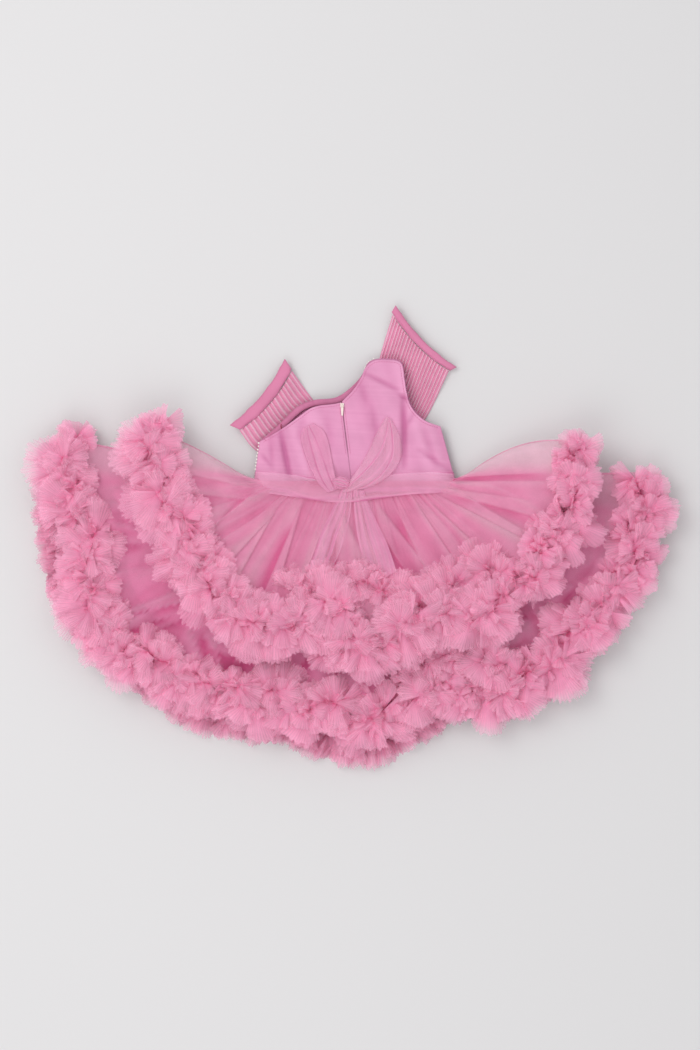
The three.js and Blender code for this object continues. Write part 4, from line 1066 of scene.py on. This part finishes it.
def add_stitches(cloth, line):
    starts = np.arange(0.5, max(1, int(len(resampled(line, 1.0)) / STITCH_PITCH)) - 0.5)
    reach = starts[-1] + 1
    for start in starts:
        ends = along(line, [start / reach, (start + STITCH_LENGTH / STITCH_PITCH) / reach])
        cloth.add(rolled_strip(np.linspace(*ends, 4), 0.3, 0.24, sides=6)[0], 0.5, wrap=True, caps=True)


def make_stitches():
    cloth = Cloth()
    for rows in (BACK_LEFT_TOP, BACK_RIGHT_TOP):
        edge = resampled(plan_curve(rows), 2.0)
        x, y = (edge + EDGE_TO_STITCH * directions(edge)[1]).T
        add_stitches(cloth, grid_of(x, y, back_z(x, y) + 0.1)[1:-1])
    for side in (-1, 1):
        y = np.linspace(176, 112, 30)
        x = zip_x(y) + ZIP_TO_STITCH * side
        add_stitches(cloth, grid_of(x, y, back_z(x, y) + 0.1))
    for line in HEM_STITCHES:
        add_stitches(cloth, line)
    cloth.make("topstitching", THREAD, "satin")


# Pearls sewn to the front's trim, where they show past the back
def make_pearls():
    pearls = Cloth()
    edge = plan_curve(FRONT_TOP)
    for share in (0.52, 0.527, 0.54, 0.548, 0.556, 0.57):
        x, y = along(edge, share)
        pearls.add(*small_ball((x, y + 1.2 - 0.8 * math.sin(40 * share), 13.0), (0.9,) * 3, 10, 8), wrap=True)
    for k in range(9):
        y = 92 + 4.4 * k
        x = side_seams(y)[0] - 0.8 + 0.8 * math.sin(3.1 * k)
        pearls.add(*small_ball((x, y, 13.0 + 0.5 * math.cos(2.3 * k)), (1.4,) * 3, 10, 8), wrap=True)
    pearls.make("trim_pearls", PEARL, "enamel")


def make_hook_eye():
    """The thread bar over the top of the zip."""
    turn = np.linspace(0, np.pi, 14)
    (x0, y0), (x1, y1) = photo_plan(281.5, 424.5), photo_plan(283, 431)
    bow, share = np.sin(turn), turn / np.pi
    bar = grid_of(lerp(x0, x1, share) - 1.2 * bow, lerp(y0, y1, share), 17.5 + 0.8 * bow)
    cloth = Cloth().add(rolled_strip(bar, 0.7, 0.6, sides=8)[0], 0.5, wrap=True, caps=True)
    cloth.make("hook_eye_thread", BROWN_THREAD, "organza")


def make_skirt():
    make_layer("lining", LINING, "satin", 200, 32, 61, 0.05)
    make_layer("lower", LOWER_NET, "tulle", 520, 42, 71, 0.05)
    make_layer("upper", TIER_NET, "tulle", 580, 42, 81, 0.07)
    make_back_ruffle("lower", 14, 66, 111, 32)
    make_back_ruffle("upper", 13, 64, 211, 31)
    lower_rows = [(1, 40, 0.05, 0.1), (1, 37, 0.4, 0.5), (1, 30, 0.8, 0.8), (-1, 26, 0.05, 0.1)]
    make_front_ruffle("lower", lower_rows, 320, math.inf)
    make_front_ruffle("upper", [(1, 26, 0.0, 0.0), (-1, 26, 0.0, 0.0)], 400, 1.8)


# Stage
def make_stage():
    half, level = 6.0, -0.0004
    corners = [(half * x, half * y, level) for x, y in ((-1, -1), (1, -1), (1, 1), (-1, 1))]
    mesh = bpy.data.meshes.new("floor")
    mesh.from_pydata(corners, [], [(0, 1, 2, 3)])
    material, _, surface = new_material("floor", 0.75)
    surface.inputs["Base Color"].default_value = srgb(214, 213, 213)
    mesh.materials.append(material)
    floor = new_object("floor", mesh)


def area_light(name, place, target, size, power, colour):
    data = bpy.data.lights.new(name, "AREA")
    data.shape, data.size, data.energy, data.color = "DISK", size, power, colour
    light = new_object(name, data)
    light.location = place
    x, y, z = np.array(target) - np.array(place)
    light.rotation_euler = (math.atan2(math.hypot(x, y), -z), 0, math.atan2(y, x) - math.pi / 2)


def make_lights():
    area_light("key", place=(-1.3, 0.9, 2.6), target=(0, 0, 0), size=1.8, power=29, colour=(1.0, 0.99, 0.98))
    area_light("fill", place=(-0.9, -1.8, 2.6), target=(0, -0.3, 0), size=2.2, power=16, colour=(1.0, 0.99, 0.99))
    world = bpy.data.worlds.new("studio")
    world.use_nodes = True
    background = world.node_tree.nodes["Background"].inputs
    background["Color"].default_value = (0.98, 0.98, 1.0, 1.0)
    background["Strength"].default_value = 0.8
    scene = bpy.context.scene
    scene.world = world
    scene.view_settings.view_transform = "Standard"
    scene.cycles.transparent_max_bounces = 24


def make_camera():
    data = bpy.data.cameras.new("camera")
    data.sensor_fit = "VERTICAL"
    data.sensor_height = SENSOR
    data.lens = SENSOR * CAMERA_HEIGHT / (PHOTO_HEIGHT * PHOTO_MM_PER_PX)
    camera = new_object("camera", data)
    camera.location = (PLAN_SHIFT[0] * MM, (CAMERA_Y + PLAN_SHIFT[1]) * MM, CAMERA_HEIGHT * MM)
    bpy.context.scene.camera = camera


make_camera()
make_stage()
make_lights()
make_bodice()
make_binding()
make_zip()
for side, wing in WINGS.items():
    make_wing(side, wing)
make_bow_centre()
make_skirt()
make_sash()
for k, (side, loop) in enumerate(LOOPS.items()):
    make_loop(side, loop, 500 + 10 * k)
for k, (side, rows) in enumerate(TAILS.items()):
    make_tail(side, rows, 600 + 10 * k)
make_pearls()
make_hook_eye()
make_stitches()

for name in ("zip_slider", "zip_pull"):
    for material_slot in bpy.data.objects[name].material_slots:
        material_slot.material = ENAMEL
